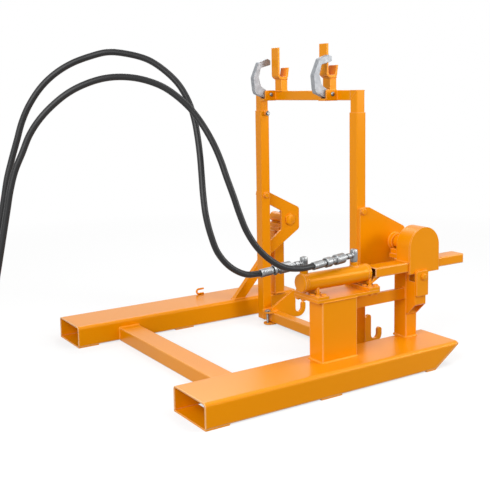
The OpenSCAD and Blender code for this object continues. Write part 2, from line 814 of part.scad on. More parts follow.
module bearing_bushes() {
    color(BRONZE)
    for (tube = [[near_bearing_y, near_bearing_length], [far_bearing_y, far_bearing_length]])
        difference() {
            round_y(pivot_x, pivot_height, bush_radius, tube[0], tube[1]);
            round_y(pivot_x, pivot_height, shaft_radius + running_fit, tube[0] - cut, tube[1] + 2 * cut);
        }
}

// Grease nipples screwed into the tops of the bearing tubes
module grease_nipples() {
    height = 14;
    color(ZINC)
    for (tube = [[near_bearing_y, near_bearing_length], [far_bearing_y, far_bearing_length]])
        translate([pivot_x, tube[0] + tube[1] / 2, pivot_height + bush_radius]) {
            cylinder(r = nipple_radius, h = height);
            translate([0, 0, bearing_wall + 0.6]) hexagon(9, 4.4);
            translate([0, 0, height]) sphere(r = 3.2, $fn = 24);
        }
}

// Open hook of round bar on the far pocket, for the hoses
hook_rod = 4;
hook_bend = 10;
module hose_hook() {
    x = from_rear(608);
    y = pocket_pitch / 2 + pocket_width / 2 - pocket_bend - hook_rod - 1;
    z = pocket_height + hook_rod + hook_bend;
    leg = 23;
    color(PAINT) {
        round_x(y, z - hook_bend, hook_rod, x, leg);
        round_x(y, z + hook_bend, hook_rod, x, leg);
        translate([x, y, z]) rotate([90, 0, 0]) rotate([0, 0, 90])
            rotate_extrude(angle = 180) translate([hook_bend, 0]) circle(r = hook_rod, $fn = 24);
    }
}

// Places along a hydraulic line, measured from the port's axis towards the hose
module on_line(port, route, distance) {
    reach = route[0] - port;
    translate(port) rotate([0, acos(reach[2] / norm(reach)), atan2(reach[1], reach[0])])
        translate([0, 0, distance]) children();
}

function line_length(port, route) = norm(route[0] - port);
elbow_half = 11;
elbow_spigot = 8;
hexagon_length = 52;
rear_nut_length = 23;
front_nut_length = 62;
ferrule_length = 40;

// Forged elbow blocks on the two ports
module port_elbow(port, route) {
    bottom = cylinder_height + port_boss_height;
    top = 19;
    height = port[2] + top - bottom;
    translate([port[0], port[1], 0])
        along_z(bottom, height)
            polygon(rounded_box(-elbow_half, -elbow_half, 2 * elbow_half, 2 * elbow_half, 3));
    on_line(port, route, 0) cylinder(r = 9, h = elbow_half + elbow_spigot);
}

module port_elbows() {
    color(ZINC) {
        port_elbow(rear_port, upper_route);
        port_elbow(front_port, lower_route);
    }
}

// Adapter with a long hexagon, then the hose's swivel nut and its collar
module line_fitting(port, route, nut_length) {
    neck_start = elbow_half + elbow_spigot;
    nut_start = line_length(port, route) - ferrule_length - nut_length;
    hexagon_start = nut_start - hexagon_length;
    nut_share = 0.7;
    on_line(port, route, neck_start) cylinder(r = 7.5, h = hexagon_start - neck_start);
    on_line(port, route, hexagon_start) hexagon(29, hexagon_length);
    on_line(port, route, nut_start) {
        hexagon(28, nut_length * nut_share);
        translate([0, 0, nut_length * nut_share]) cylinder(r = 11.5, h = nut_length * (1 - nut_share));
    }
}

module line_fittings() {
    color(ZINC) {
        line_fitting(rear_port, upper_route, rear_nut_length);
        line_fitting(front_port, lower_route, front_nut_length);
    }
}

module hose_ferrules() {
    color(ZINC)
    for (line = [[rear_port, upper_route], [front_port, lower_route]])
        on_line(line[0], line[1], line_length(line[0], line[1]) - ferrule_length) {
            cylinder(r = ferrule_diameter / 2 - 1.5, h = ferrule_length);
            translate([0, 0, 4]) cylinder(r = ferrule_diameter / 2, h = ferrule_length - 8);
        }
}

// Hose: rings of points square to the route, joined by triangles
module hose(route, first_direction) {
    last = len(route) - 1;
    rings = [
        for (i = [0 : last])
            let (
                along = i == 0 ? unit(first_direction)
                    : i == last ? [-1, 0, 0]
                    : unit(route[i + 1] - route[i - 1]),
                across = unit(cross(along, [0, 1, 0])),
                beside = cross(along, across)
            )
            for (k = [0 : hose_sides - 1])
                let (angle = 360 * k / hose_sides)
                route[i] + hose_diameter / 2 * (cos(angle) * across + sin(angle) * beside)];
    walls = [
        for (i = [0 : last - 1])
            for (k = [0 : hose_sides - 1])
                let (
                    a = i * hose_sides + k,
                    b = i * hose_sides + (k + 1) % hose_sides
                )
                for (face = [[a, b, a + hose_sides], [b, b + hose_sides, a + hose_sides]]) face];
    start_cap = [for (k = [1 : hose_sides - 2]) [0, k + 1, k]];
    base = last * hose_sides;
    end_cap = [for (k = [1 : hose_sides - 2]) [base, base + k, base + k + 1]];
    polyhedron(points = rings, faces = concat(walls, start_cap, end_cap), convexity = 6);
}

module upper_hose() {
    color(RUBBER) hose(upper_route, upper_route[0] - rear_port);
}

module lower_hose() {
    color(RUBBER) hose(lower_route, lower_route[0] - front_port);
}

// Quick coupler lying on the floor at a hose's end
module hose_coupler(route) {
    place = route[len(route) - 1];
    collar = 0.45;
    translate(place) rotate([0, -90, 0]) {
        cylinder(r = ferrule_diameter / 2 - 1, h = coupler_length);
        translate([0, 0, coupler_length * collar])
            cylinder(r = coupler_diameter / 2, h = coupler_length * 0.35);
        translate([0, 0, 6]) hexagon(coupler_diameter * cos(30), coupler_length * 0.25);
    }
}

module upper_hose_coupler() {
    color(ZINC) hose_coupler(upper_route);
}

module lower_hose_coupler() {
    color(ZINC) hose_coupler(lower_route);
}

// Piston with a groove for its seal
seal_width = 8;
seal_depth = 3;
piston_radius = barrel_bore / 2 - running_fit;
module piston() {
    groove_x = piston_x - seal_width / 2;
    color(STEEL)
    difference() {
        round_x(line_y, cylinder_height, piston_radius, piston_x - piston_length / 2, piston_length);
        difference() {
            round_x(line_y, cylinder_height, piston_radius + cut, groove_x, seal_width);
            round_x(line_y, cylinder_height, piston_radius - seal_depth, groove_x - cut, seal_width + 2 * cut);
        }
    }
}

module piston_seal() {
    groove_x = piston_x - seal_width / 2;
    color(RUBBER)
    difference() {
        round_x(line_y, cylinder_height, piston_radius, groove_x, seal_width);
        round_x(line_y, cylinder_height, piston_radius - seal_depth, groove_x - cut, seal_width + 2 * cut);
    }
}

// Chromed rod with the coupling that holds the rack
module piston_rod() {
    start = piston_x + piston_length / 2;
    color(ZINC) {
        round_x(line_y, cylinder_height, rod_diameter / 2, start, rack_start_x - coupling_length - start);
        round_x(line_y, cylinder_height, coupling_radius, rack_start_x - coupling_length, coupling_length);
    }
}

// Rack: a bar with teeth of 20 degree flanks on its top
tooth_pitch = PI * gear_module;
module rack() {
    flank = tan(pressure_angle);
    half = tooth_pitch / 4 - backlash / 2;
    first = ceil((rack_start_x - pivot_x) / tooth_pitch + 0.5);
    last = floor((rack_start_x + rack_length - pivot_x) / tooth_pitch - 0.5);
    root_z = pitch_z - tooth_root;
    teeth = [
        for (i = [first : last])
            let (x = pivot_x + (i - 0.5) * tooth_pitch)
            for (p = [
                [x - half - tooth_root * flank, root_z], [x - half + tooth_tip * flank, pitch_z + tooth_tip],
                [x + half - tooth_tip * flank, pitch_z + tooth_tip], [x + half + tooth_root * flank, root_z]])
                p];
    color(STEEL)
    along_y(line_y - rack_width / 2, rack_width) polygon(concat(
        [[rack_start_x, root_z]], teeth,
        [[rack_start_x + rack_length, root_z], [rack_start_x + rack_length, rack_bottom_z],
        [rack_start_x, rack_bottom_z]]));
}

// Pivot plates: outline about the tilt axis, X and Z, with rounded corners
plate_back = -post_setback - post_side / 2 + 6;
plate_front = 48;
plate_drop = 172;
plate_rise = 130;
plate_outline = rounded([
    [plate_back, -plate_drop, 2], [plate_front, -42, 16], [plate_front, 47, 14],
    [plate_back + 41, plate_rise, 14], [plate_back, plate_rise, 2]]);
window_inset = -post_setback + post_side / 2;
window_outline = rounded([
    [window_inset, -98, 3], [-42, -38, 8], [-42, 41, 8], [window_inset, 84, 3]]);
plate_bolt_radius = 6;
plate_bolt_z = pivot_height + 117;

module pivot_plate(y) {
    difference() {
        along_y(y, pivot_plate_thickness) translate([pivot_x, pivot_height]) children();
        round_y(pivot_x, pivot_height, shaft_radius, y - cut, pivot_plate_thickness + 2 * cut);
        round_y(post_x, plate_bolt_z, plate_bolt_radius + bolt_gap, y - cut, pivot_plate_thickness + 2 * cut);
    }
}

module near_pivot_plate() {
    color(PAINT) pivot_plate(-plate_outer_y) polygon(plate_outline);
}

module far_pivot_plate() {
    color(PAINT) pivot_plate(post_outer_y) difference() {
        polygon(plate_outline);
        polygon(window_outline);
    }
}

// Hexagon bolts through each pivot plate and post, with nuts
module plate_bolts() {
    length = post_side + pivot_plate_thickness;
    color(PAINT)
    for (start = [-plate_outer_y, post_inner_y])
        translate([post_x, start, plate_bolt_z]) rotate([-90, 0, 0]) {
            translate([0, 0, -8]) hexagon(19, 8);
            cylinder(r = plate_bolt_radius, h = length + 12);
            translate([0, 0, length]) hexagon(19, 10);
        }
}

// Keyed drive shaft, through the near pivot plate
key_width = 8;
key_height = 8;
module key_box() {
    y = line_y - pinion_width / 2 + 3;
    translate([pivot_x - key_width / 2, y, pivot_height + shaft_radius - key_height / 2])
        cube([key_width, pinion_width - 6, key_height]);
}

module near_drive_shaft() {
    start = line_y - pinion_width / 2 - 2;
    color(STEEL)
    difference() {
        round_y(pivot_x, pivot_height, shaft_radius, start, -post_outer_y - start);
        key_box();
    }
}

module shaft_key() {
    color(STEEL) key_box();
}

// Involute pinion: half the tooth's angle at a radius, from the base circle outwards
base_radius = pitch_radius * cos(pressure_angle);
function involute(angle) = tan(angle) * 180 / PI - angle;
function half_tooth(radius) =
    90 / pinion_teeth - backlash / 2 / pitch_radius * 180 / PI
    + involute(pressure_angle) - involute(acos(min(1, base_radius / radius)));
function on_circle(radius, angle) = radius * [cos(angle), sin(angle)];

module pinion() {
    steps = 5;
    tip = pitch_radius + tooth_tip;
    root = pitch_radius - tooth_root;
    outline = [
        for (i = [0 : pinion_teeth - 1])
            let (middle = -90 + 360 * i / pinion_teeth)
            for (p = concat(
                [on_circle(root, middle - half_tooth(base_radius))],
                [for (k = [0 : steps])
                    let (r = base_radius + (tip - base_radius) * k / steps)
                    on_circle(r, middle - half_tooth(r))],
                [for (k = [steps : -1 : 0])
                    let (r = base_radius + (tip - base_radius) * k / steps)
                    on_circle(r, middle + half_tooth(r))],
                [on_circle(root, middle + half_tooth(base_radius))]))
                p];
    color(STEEL)
    difference() {
        along_y(line_y - pinion_width / 2, pinion_width)
            translate([pivot_x, pivot_height]) polygon(outline);
        round_y(pivot_x, pivot_height, shaft_radius, line_y - pinion_width, 2 * pinion_width);
        key_box();
    }
}

module shaft_collar() {
    color(PAINT)
    difference() {
        round_y(pivot_x, pivot_height, collar_diameter / 2, -plate_outer_y - collar_length + slide_gap,
            collar_length - slide_gap);
        round_y(pivot_x, pivot_height, shaft_radius, -plate_outer_y - collar_length,
            collar_length + cut);
    }
}

// Stub shaft with a hexagon head inside the frame, out through the far bearing
module far_stub_shaft() {
    head = 6;
    color(PAINT) {
        translate([pivot_x, post_outer_y - head, pivot_height]) rotate([-90, 0, 0])
            hexagon(2 * bearing_radius, head);
        round_y(pivot_x, pivot_height, shaft_radius, post_outer_y,
            far_bearing_y + far_bearing_length - post_outer_y);
    }
}

// Outer posts with the welded nuts of their clamp screws
clamp_screw_radius = 4;
clamp_screw_z = post_top - 11;
clamp_nut = 8;
module outer_posts() {
    color(PAINT)
    at_both_sides()
        difference() {
            union() {
                upright_tube(post_x, post_offset, post_side, post_side, post_wall, post_bottom,
                    post_top - post_bottom);
                translate([post_x + 5, post_inner_y, clamp_screw_z]) rotate([90, 0, 0])
                    hexagon(15, clamp_nut);
            }
            round_y(post_x, plate_bolt_z, plate_bolt_radius + bolt_gap, post_inner_y - cut,
                post_side + 2 * cut);
            round_y(post_x + 5, clamp_screw_z, clamp_screw_radius, post_inner_y - clamp_nut - cut,
                clamp_nut + post_wall + 2 * cut);
        }
}

module post_clamp_screws() {
    head = 6;
    tip_y = post_offset - slider_side / 2 - slide_gap;
    color(ZINC)
    at_both_sides() {
        round_y(post_x + 5, clamp_screw_z, clamp_screw_radius, post_inner_y - clamp_nut - 6,
            tip_y - post_inner_y + clamp_nut + 6);
        translate([post_x + 5, post_inner_y - clamp_nut - 6, clamp_screw_z]) rotate([90, 0, 0])
            hexagon(13, head);
    }
}

// Lower crossbar between the outer posts
module lower_crossbar() {
    color(PAINT)
    cross_tube(post_back_x, post_bottom, post_side, post_side, 3, -post_inner_y, 2 * post_inner_y);
}

// Tabs above and below the crossbar that hold an upright bolt behind it
lug_offset = 220;
lug_width = 50;
lug_thickness = 6;
lug_reach = 28;
lug_bolt_radius = 5;
lug_bolt_x = post_back_x - 14;
module crossbar_lugs() {
    color(PAINT)
    at_both_sides()
        for (z = [post_bottom - lug_thickness, post_bottom + post_side])
            difference() {
                along_z(z, lug_thickness) polygon(rounded([
                    [post_back_x + 11, lug_offset - lug_width / 2, 0],
                    [post_back_x + 11, lug_offset + lug_width / 2, 0],
                    [post_back_x - lug_reach, lug_offset + lug_width / 2 - 8, 16],
                    [post_back_x - lug_reach, lug_offset - lug_width / 2 + 8, 16]]));
                round_z(lug_bolt_x, lug_offset, lug_bolt_radius + bolt_gap, z - cut, lug_thickness + 2 * cut);
            }
}

module lug_bolts() {
    top = post_bottom + post_side + lug_thickness;
    bottom = post_bottom - lug_thickness;
    color(ZINC)
    at_both_sides() {
        translate([lug_bolt_x, lug_offset, top]) hexagon(17, 6);
        round_z(lug_bolt_x, lug_offset, lug_bolt_radius, bottom, top - bottom);
    }
}

// Hook plates on the crossbar, whose slots take the bin's axle
module axle_hooks() {
    slot_radius = hook_slot / 2;
    slot_reach = 105.5;
    slot_rise = 33.5;
    back_prong = 67;
    front_prong = 12.5;
    slot_centre = [post_front_x + slot_reach, post_bottom + slot_rise];
    prong_front = 20;
    prong_back = 21;
    outer_radius = slot_radius + prong_front;
    back_top_z = slot_centre[1] + back_prong;
    front_top_z = slot_centre[1] + front_prong;
    outline = concat(
        [[post_front_x - 28, post_bottom + post_side], [post_front_x - 28, post_bottom + post_side + 12]],
        arc([slot_centre[0] - slot_radius - prong_back / 2, back_top_z], prong_back / 2, 150, 0),
        arc(slot_centre, slot_radius, 180, 360),
        arc([slot_centre[0] + slot_radius + prong_front / 2, front_top_z], prong_front / 2, 180, 0),
        arc(slot_centre, outer_radius, 0, -90),
        [[post_front_x, post_bottom], [post_front_x, post_bottom + post_side]]);
    color(PAINT)
    at_both_sides()
        along_y(hook_offset - hook_thickness / 2, hook_thickness) polygon(outline);
}

// Sliding goalpost frame: two posts inside the outer posts and the top crossbar
module sliding_frame() {
    inner_y = post_offset - slider_side / 2;
    color(PAINT) {
        at_both_sides() {
            upright_tube(post_x, post_offset, slider_side, slider_side, slider_wall, slider_start_z,
                slider_length - slider_wall);
            along_z(slider_top - slider_wall, slider_wall) polygon(rounded_box(
                crossbar_back_x, inner_y, slider_side, slider_side, tube_edge));
        }
        cross_tube(crossbar_back_x, crossbar_bottom_z, slider_side, slider_side, slider_wall,
            -inner_y, 2 * inner_y);
    }
}

// Rim cradles: a stub on the crossbar with a bent flat bar, tall behind and short in front
module rim_cradles() {
    stub = 45;
    stub_depth = 28;
    stub_width = cradle_width - 2;
    bend = 16;
    bottom = slider_top + stub;
    back_x = crossbar_back_x - 17.5;
    t = cradle_thickness;
    mouth = 29;
    short_leg = 43;
    flare = 6;
    profile = rounded([
        [back_x, slider_top + cradle_rise, 1], [back_x, bottom, bend],
        [back_x + 2 * t + mouth, bottom, bend - 4], [back_x + 2 * t + mouth + flare, bottom + short_leg, 2],
        [back_x + t + mouth + flare, bottom + short_leg, 2], [back_x + t + mouth, bottom + t, 5],
        [back_x + t, bottom + t, bend - t], [back_x + t, slider_top + cradle_rise, 1]]);
    color(PAINT)
    for (side = [-1, 1]) {
        translate([crossbar_back_x - 2.5, side * cradle_offset - stub_width / 2, slider_top])
            cube([stub_depth, stub_width, stub]);
        along_y(side * cradle_offset - cradle_width / 2, cradle_width) polygon(profile);
    }
}

// Clevises on the crossbar's back: two cheeks and the stop that the claw rests on
module claw_clevises() {
    cheek_reach = 27;
    cheek_rise = 15.5;
    back_x = claw_pivot_x - cheek_reach;
    stop_top_z = claw_pivot_z - claw_boss_radius - slide_gap;
    stop_thickness = 8;
    cheek_top_z = claw_pivot_z + cheek_rise;
    color(PAINT)
    for (side = [-1, 1])
        difference() {
            union() {
                for (y = [side * claw_offset - cheek_outer, side * claw_offset + cheek_outer - cheek_thickness])
                    along_y(y, cheek_thickness) polygon(rounded([
                        [back_x, stop_top_z - stop_thickness, 3],
                        [crossbar_back_x, stop_top_z - stop_thickness, 0],
                        [crossbar_back_x, slider_top, 0], [crossbar_back_x - 6, cheek_top_z, 4],
                        [back_x, cheek_top_z, 6]]));
                translate([back_x - 8, side * claw_offset - cheek_outer, stop_top_z - stop_thickness])
                    cube([crossbar_back_x - back_x + 8, 2 * cheek_outer, stop_thickness]);
            }
            round_y(claw_pivot_x, claw_pivot_z, claw_bolt_diameter / 2,
                side * claw_offset - cheek_outer - cut, 2 * cheek_outer + 2 * cut);
        }
}

module claw_pivot_bolts() {
    length = 2 * cheek_outer;
    color(ZINC)
    for (side = [-1, 1])
        translate([claw_pivot_x, side * claw_offset - cheek_outer, claw_pivot_z]) rotate([-90, 0, 0]) {
            cylinder(r = claw_bolt_diameter / 2, h = length + 8);
            translate([0, 0, -5]) cylinder(r = claw_bolt_diameter / 2 + 2.5, h = 5);
            translate([0, 0, length]) hexagon(18, 6);
        }
}

// Claw: a hooked arm cut from thick plate, its outline about its own pivot, X and Z
claw_outline = rounded([
    [-26, -12.5, 3], [-65, 3.5, 5], [-70, 18.5, 6], [-75, 64.5, 14], [-50, 120.5, 8], [-10, 134.5, 3],
    [3, 128.5, 3], [3, 112.5, 3], [-1, 110.5, 1], [-41, 100.5, 8], [-51, 65.5, 14], [-41, 30.5, 12],
    [-14, 14, 3], [0, 0, 0]]);
module claw(side) {
    y = side * claw_offset - claw_thickness / 2;
    difference() {
        union() {
            along_y(y, claw_thickness) translate([claw_pivot_x, claw_pivot_z]) polygon(claw_outline);
            round_y(claw_pivot_x, claw_pivot_z, claw_boss_radius, y, claw_thickness);
        }
        round_y(claw_pivot_x, claw_pivot_z, claw_bolt_diameter / 2 + running_fit, y - cut,
            claw_thickness + 2 * cut);
    }
}

module near_claw() {
    color(ZINC) claw(-1);
}

module far_claw() {
    color(ZINC) claw(1);
}

near_fork_pocket();
far_fork_pocket();
bottom_straps();
nose_plates();
rear_cross_tube();
near_stanchion();
far_stanchion();
far_brace();
pedestal_column();
pedestal_top_plate();
tie_bar();
cylinder_feet();
foot_bolts();
cylinder_barrel();
cylinder_end_cap();
cylinder_gland();
rack_tube();
rack_slide_pad();
pinion_housing();
housing_cover();
housing_bracket();
clamp_plate();
clamp_plate_bolt();
bearing_seats();
bearing_tubes();
bearing_bushes();
grease_nipples();
hose_hook();
port_elbows();
line_fittings();
hose_ferrules();
upper_hose();
lower_hose();
upper_hose_coupler();
lower_hose_coupler();
piston();
piston_seal();
piston_rod();
rack();
near_pivot_plate();
far_pivot_plate();
plate_bolts();
near_drive_shaft();
shaft_key();
pinion();
shaft_collar();
far_stub_shaft();
outer_posts();
lower_crossbar();
crossbar_lugs();
lug_bolts();
axle_hooks();
post_clamp_screws();
sliding_frame();
rim_cradles();
claw_clevises();
claw_pivot_bolts();
near_claw();
far_claw();
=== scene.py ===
import math

import bpy
import numpy as np
from mathutils import Matrix


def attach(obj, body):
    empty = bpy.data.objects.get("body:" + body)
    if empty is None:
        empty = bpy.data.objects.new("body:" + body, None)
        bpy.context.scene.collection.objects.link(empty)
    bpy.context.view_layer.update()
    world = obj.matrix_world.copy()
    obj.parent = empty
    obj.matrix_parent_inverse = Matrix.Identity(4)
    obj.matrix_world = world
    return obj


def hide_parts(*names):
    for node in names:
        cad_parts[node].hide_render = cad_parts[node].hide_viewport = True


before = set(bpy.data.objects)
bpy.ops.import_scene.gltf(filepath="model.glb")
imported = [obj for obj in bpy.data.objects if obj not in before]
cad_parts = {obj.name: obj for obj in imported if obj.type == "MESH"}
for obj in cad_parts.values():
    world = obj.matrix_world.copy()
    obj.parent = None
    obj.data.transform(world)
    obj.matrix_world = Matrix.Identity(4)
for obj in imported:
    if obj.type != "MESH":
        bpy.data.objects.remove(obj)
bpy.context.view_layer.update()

# Camera: it stands 1.9 m out from the near side and 1.1 m behind the pockets' mouths, level with the top
# bar, and looks forwards, inwards and slightly down. It turns by yaw, pitch and roll in degrees.
CAMERA_PLACE = (-1.655996, -2.487951, 0.936586)
CAMERA_TURN = (-32.7229, 7.4835, -1.00247)
SENSOR_WIDTH, FOCAL_LENGTH, FRAME_SHIFT = 36, 61.59, -0.0918
yaw, pitch, roll = (math.radians(a) for a in CAMERA_TURN)
look = np.array([-math.sin(yaw) * math.cos(pitch), math.cos(yaw) * math.cos(pitch), -math.sin(pitch)])
level_right = np.array([math.cos(yaw), math.sin(yaw), 0])
level_up = np.cross(level_right, look)
right = math.cos(roll) * level_right + math.sin(roll) * level_up
upright = -math.sin(roll) * level_right + math.cos(roll) * level_up
camera = bpy.data.objects.new("camera", bpy.data.cameras.new("camera"))
camera.data.sensor_width = SENSOR_WIDTH
camera.data.lens = FOCAL_LENGTH
camera.data.shift_y = FRAME_SHIFT
camera.matrix_world = Matrix.Translation(CAMERA_PLACE) @ Matrix(
    np.stack([right, upright, -look], axis=1).tolist()).to_4x4()
bpy.context.scene.collection.objects.link(camera)
bpy.context.scene.camera = camera

# Hydraulic hoses: two wire-braided rubber hoses, each about 19 mm thick. They leave their crimped
# ferrules above the cylinder, arch up behind the tilting frame and come down to the floor.
# The cover was cured under a wrap of nylon tape, which leaves it dull with a fine cloth print.
MM = 0.001
HOSE_DIAMETER = 19
UPPER_ROUTE = [
    [-285, -432, 388], [-340, -435, 394], [-392, -434, 423], [-429, -428, 468],
    [-449, -423, 523], [-458, -413, 579], [-457, -399, 635], [-452, -384, 690],
    [-447, -369, 745], [-442, -349, 800], [-441, -329, 855], [-445, -305, 905],
    [-464, -281, 956], [-497, -256, 998], [-538, -231, 1030], [-589, -205, 1047],
    [-640, -180, 1053], [-689, -156, 1041], [-739, -136, 1021], [-783, -117, 992],
    [-819, -96, 954], [-850, -80, 905], [-870, -65, 855], [-885, -55, 800],
    [-900, -45, 745], [-915, -40, 690], [-925, -35, 635], [-935, -30, 580],
    [-945, -25, 520], [-955, -20, 465], [-965, -15, 405], [-975, -10, 350],
    [-985, -10, 290], [-995, -10, 235], [-1010, -10, 180], [-1035, -10, 130],
    [-1070, -10, 85], [-1115, -10, 45], [-1165, -10, 20], [-1220, -10, 15]]
LOWER_ROUTE = [
    [-122, -478, 397], [-175, -485, 398], [-233, -484, 409], [-281, -478, 438],
    [-322, -472, 479], [-350, -462, 527], [-368, -453, 579], [-381, -444, 629],
    [-395, -430, 685], [-405, -415, 735], [-420, -400, 785], [-440, -380, 835],
    [-465, -360, 880], [-500, -340, 920], [-540, -320, 951], [-590, -300, 971],
    [-640, -280, 979], [-690, -261, 976], [-739, -241, 961], [-784, -221, 937],
    [-824, -201, 903], [-859, -186, 864], [-885, -170, 820], [-905, -160, 770],
    [-925, -150, 720], [-940, -145, 665], [-950, -140, 610], [-960, -135, 555],
    [-970, -130, 500], [-980, -125, 445], [-990, -120, 390], [-995, -115, 335],
    [-1005, -115, 280], [-1015, -115, 225], [-1030, -115, 170], [-1055, -115, 120],
    [-1085, -115, 75], [-1125, -110, 40], [-1175, -110, 20], [-1230, -110, 15]]


def linear(code):
    """An sRGB hex colour as linear red, green, blue and an alpha of one."""
    srgb = np.array([int(code[i:i + 2], 16) for i in (1, 3, 5)]) / 255
    return (*np.where(srgb <= 0.04045, srgb / 12.92, ((srgb + 0.055) / 1.055) ** 2.4), 1)


def add(tree, kind, sockets=(), **settings):
    """Adds one shader node, sets its settings, and sets or links its sockets by name or number."""
    made = tree.nodes.new(kind)
    for setting, value in settings.items():
        setattr(made, setting, value)
    for key, value in dict(sockets).items():
        if isinstance(value, bpy.types.NodeSocket):
            tree.links.new(value, made.inputs[key])
        else:
            made.inputs[key].default_value = value
    return made


def new_finish(name):
    """An empty material and its node tree, ready for the nodes of one finish."""
    material = bpy.data.materials.new(name)
    material.use_nodes = True
    material.node_tree.nodes.clear()
    return material, material.node_tree


def unit(vectors):
    """Vectors shortened to length one, along the last axis."""
    return vectors / np.linalg.norm(vectors, axis=-1, keepdims=True)


def through(route, steps=10):
    """A Catmull-Rom curve: between two points it is the cubic whose ends lean along their neighbours."""
    points = np.array(route, float)
    points = np.vstack([2 * points[0] - points[1], points, 2 * points[-1] - points[-2]])
    t = np.linspace(0, 1, steps, endpoint=False)[:, None]
    a, b, c, d = (points[i:len(points) - 3 + i, None] for i in range(4))
    curve = 0.5 * (2 * b + (c - a) * t + (2 * a - 5 * b + 4 * c - d) * t**2
                   + (3 * b - a - 3 * c + d) * t**3)
    return np.vstack([curve.reshape(-1, 3), points[-2:-1]])


def rings(line, radius, side=(0, 1, 0), sides=24):
    """Circles square to a line. Each starts at the line's direction crossed with a fixed side direction."""
    along = unit(np.gradient(line, axis=0))
    across = unit(np.cross(along, side))
    beside = np.cross(along, across)
    angle = (np.arange(sides) * 2 * math.pi / sides)[None, :, None]
    radius = np.broadcast_to(radius, len(line))[:, None, None]
    return line[:, None] + radius * (np.cos(angle) * across[:, None] + np.sin(angle) * beside[:, None])


def make_piece(name, solids, finish, body, sharp=35):
    """Joins the loops of each solid into a skin. A solid is an array of rows, points and coordinates in
    millimetres. Each row is a closed loop, joined to the next row by quads, and the first and last rows are
    filled. A solid whose last row is its first again is joined to itself, as a ring is."""
    points, faces, first = [], [], 0
    for loops in solids:
        ring = np.allclose(loops[0], loops[-1])
        loops = loops[:-1] if ring else loops
        rows, count = loops.shape[:2]
        index = first + np.arange(rows * count).reshape(rows, count)
        ends = [] if ring else [index[0, ::-1].tolist(), index[-1].tolist()]
        index = np.vstack([index, index[:1]]) if ring else index
        ahead = np.roll(index, -1, axis=1)
        quads = np.stack([index[:-1], ahead[:-1], ahead[1:], index[1:]], axis=-1)
        faces += quads.reshape(-1, 4).tolist() + ends
        points.append(loops.reshape(-1, 3))
        first += rows * count
    mesh = bpy.data.meshes.new(name)
    mesh.from_pydata(np.concatenate(points) * MM, [], faces)
    mesh.polygons.foreach_set("use_smooth", [True] * len(faces))
    mesh.set_sharp_from_angle(angle=math.radians(sharp))
    mesh.materials.append(finish)
    made = bpy.data.objects.new(name, mesh)
    bpy.context.scene.collection.objects.link(made)
    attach(made, body)
    return made


# Vulcanised rubber: near black, dull, with a soft highlight. The tape's print is 1 mm apart on the real
# hose and is drawn 3 mm apart along it, so that it shows. The wave node turns by 20 radians a unit.
PRINT_PITCH, WAVE_RADIANS = 3, 20
# A Mix node has sockets for several kinds of value, so those for colours are called by number.
SHARE, LOW, HIGH, MIXED = 0, 6, 7, 2
hose_rubber, tree = new_finish("vulcanised_hose_rubber")
place = add(tree, "ShaderNodeUVMap", uv_map="along_hose").outputs["UV"]
wrap = add(tree, "ShaderNodeTexWave", {"Vector": place, "Scale": 2 * math.pi / WAVE_RADIANS / PRINT_PITCH,
           "Distortion": 0.6, "Detail": 1}, bands_direction="Y").outputs["Fac"]
grain = add(tree, "ShaderNodeTexNoise", {"Vector": place, "Scale": 0.9, "Detail": 4}).outputs["Fac"]
dust = add(tree, "ShaderNodeTexNoise", {"Vector": place, "Scale": 0.03, "Detail": 3}).outputs["Fac"]
tone = add(tree, "ShaderNodeMix", {SHARE: dust, LOW: linear("#101011"), HIGH: linear("#1E1E1F")},
           data_type="RGBA").outputs[MIXED]
dull = add(tree, "ShaderNodeMapRange", {"Value": grain, "To Min": 0.34, "To Max": 0.52}).outputs[0]
print_depth = add(tree, "ShaderNodeBump", {"Height": wrap, "Strength": 0.35, "Distance": 0.0002})
grain_depth = add(tree, "ShaderNodeBump", {"Height": grain, "Strength": 0.3, "Distance": 0.0003,
                  "Normal": print_depth.outputs[0]}).outputs[0]
rubber = add(tree, "ShaderNodeBsdfPrincipled", {"Base Color": tone, "Roughness": dull, "IOR": 1.52,
             "Specular IOR Level": 0.32, "Normal": grain_depth})
add(tree, "ShaderNodeOutputMaterial", {"Surface": rubber.outputs[0]})


def make_hose(name, route, node):
    """A tube round the smooth route, with a map of millimetres round it and along it."""
    line = through(route)
    loops = rings(line, HOSE_DIAMETER / 2)
    hose = make_piece(name, [loops], hose_rubber, "base")
    rows, sides = loops.shape[:2]
    along = np.concatenate([[0], np.cumsum(np.linalg.norm(np.diff(line, axis=0), axis=1))])
    girth = np.arange(sides + 1) * math.pi * HOSE_DIAMETER / sides
    corner = np.stack(np.meshgrid(girth, along), axis=-1)
    quads = np.stack([corner[:-1, :-1], corner[:-1, 1:], corner[1:, 1:], corner[1:, :-1]], axis=2)
    ends = np.zeros((2 * sides, 2))
    layer = hose.data.uv_layers.new(name="along_hose")
    layer.data.foreach_set("uv", np.concatenate([quads.reshape(-1, 2), ends]).ravel())
    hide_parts(node)
    return hose, line


upper_hose, upper_line = make_hose("upper_hose_tube", UPPER_ROUTE, "upper_hose")
lower_hose, lower_line = make_hose("lower_hose_tube", LOWER_ROUTE, "lower_hose")

# Hose couplers: flat-face quick couplers of zinc-plated steel at the hoses' far ends. Each has a hexagon
# for the spanner, a knurled sliding sleeve and a plain nose, all turned from bar.
SLEEVE_RADIUS, SLEEVE_START, SLEEVE_END = 15, 29.4, 58.8
KNURL_START, KNURL_END, KNURL_SINK = 32.9, 55.3, 0.4
KNURL_COUNT, KNURL_TWIST, KNURL_HEIGHT = 12, 20, 0.03


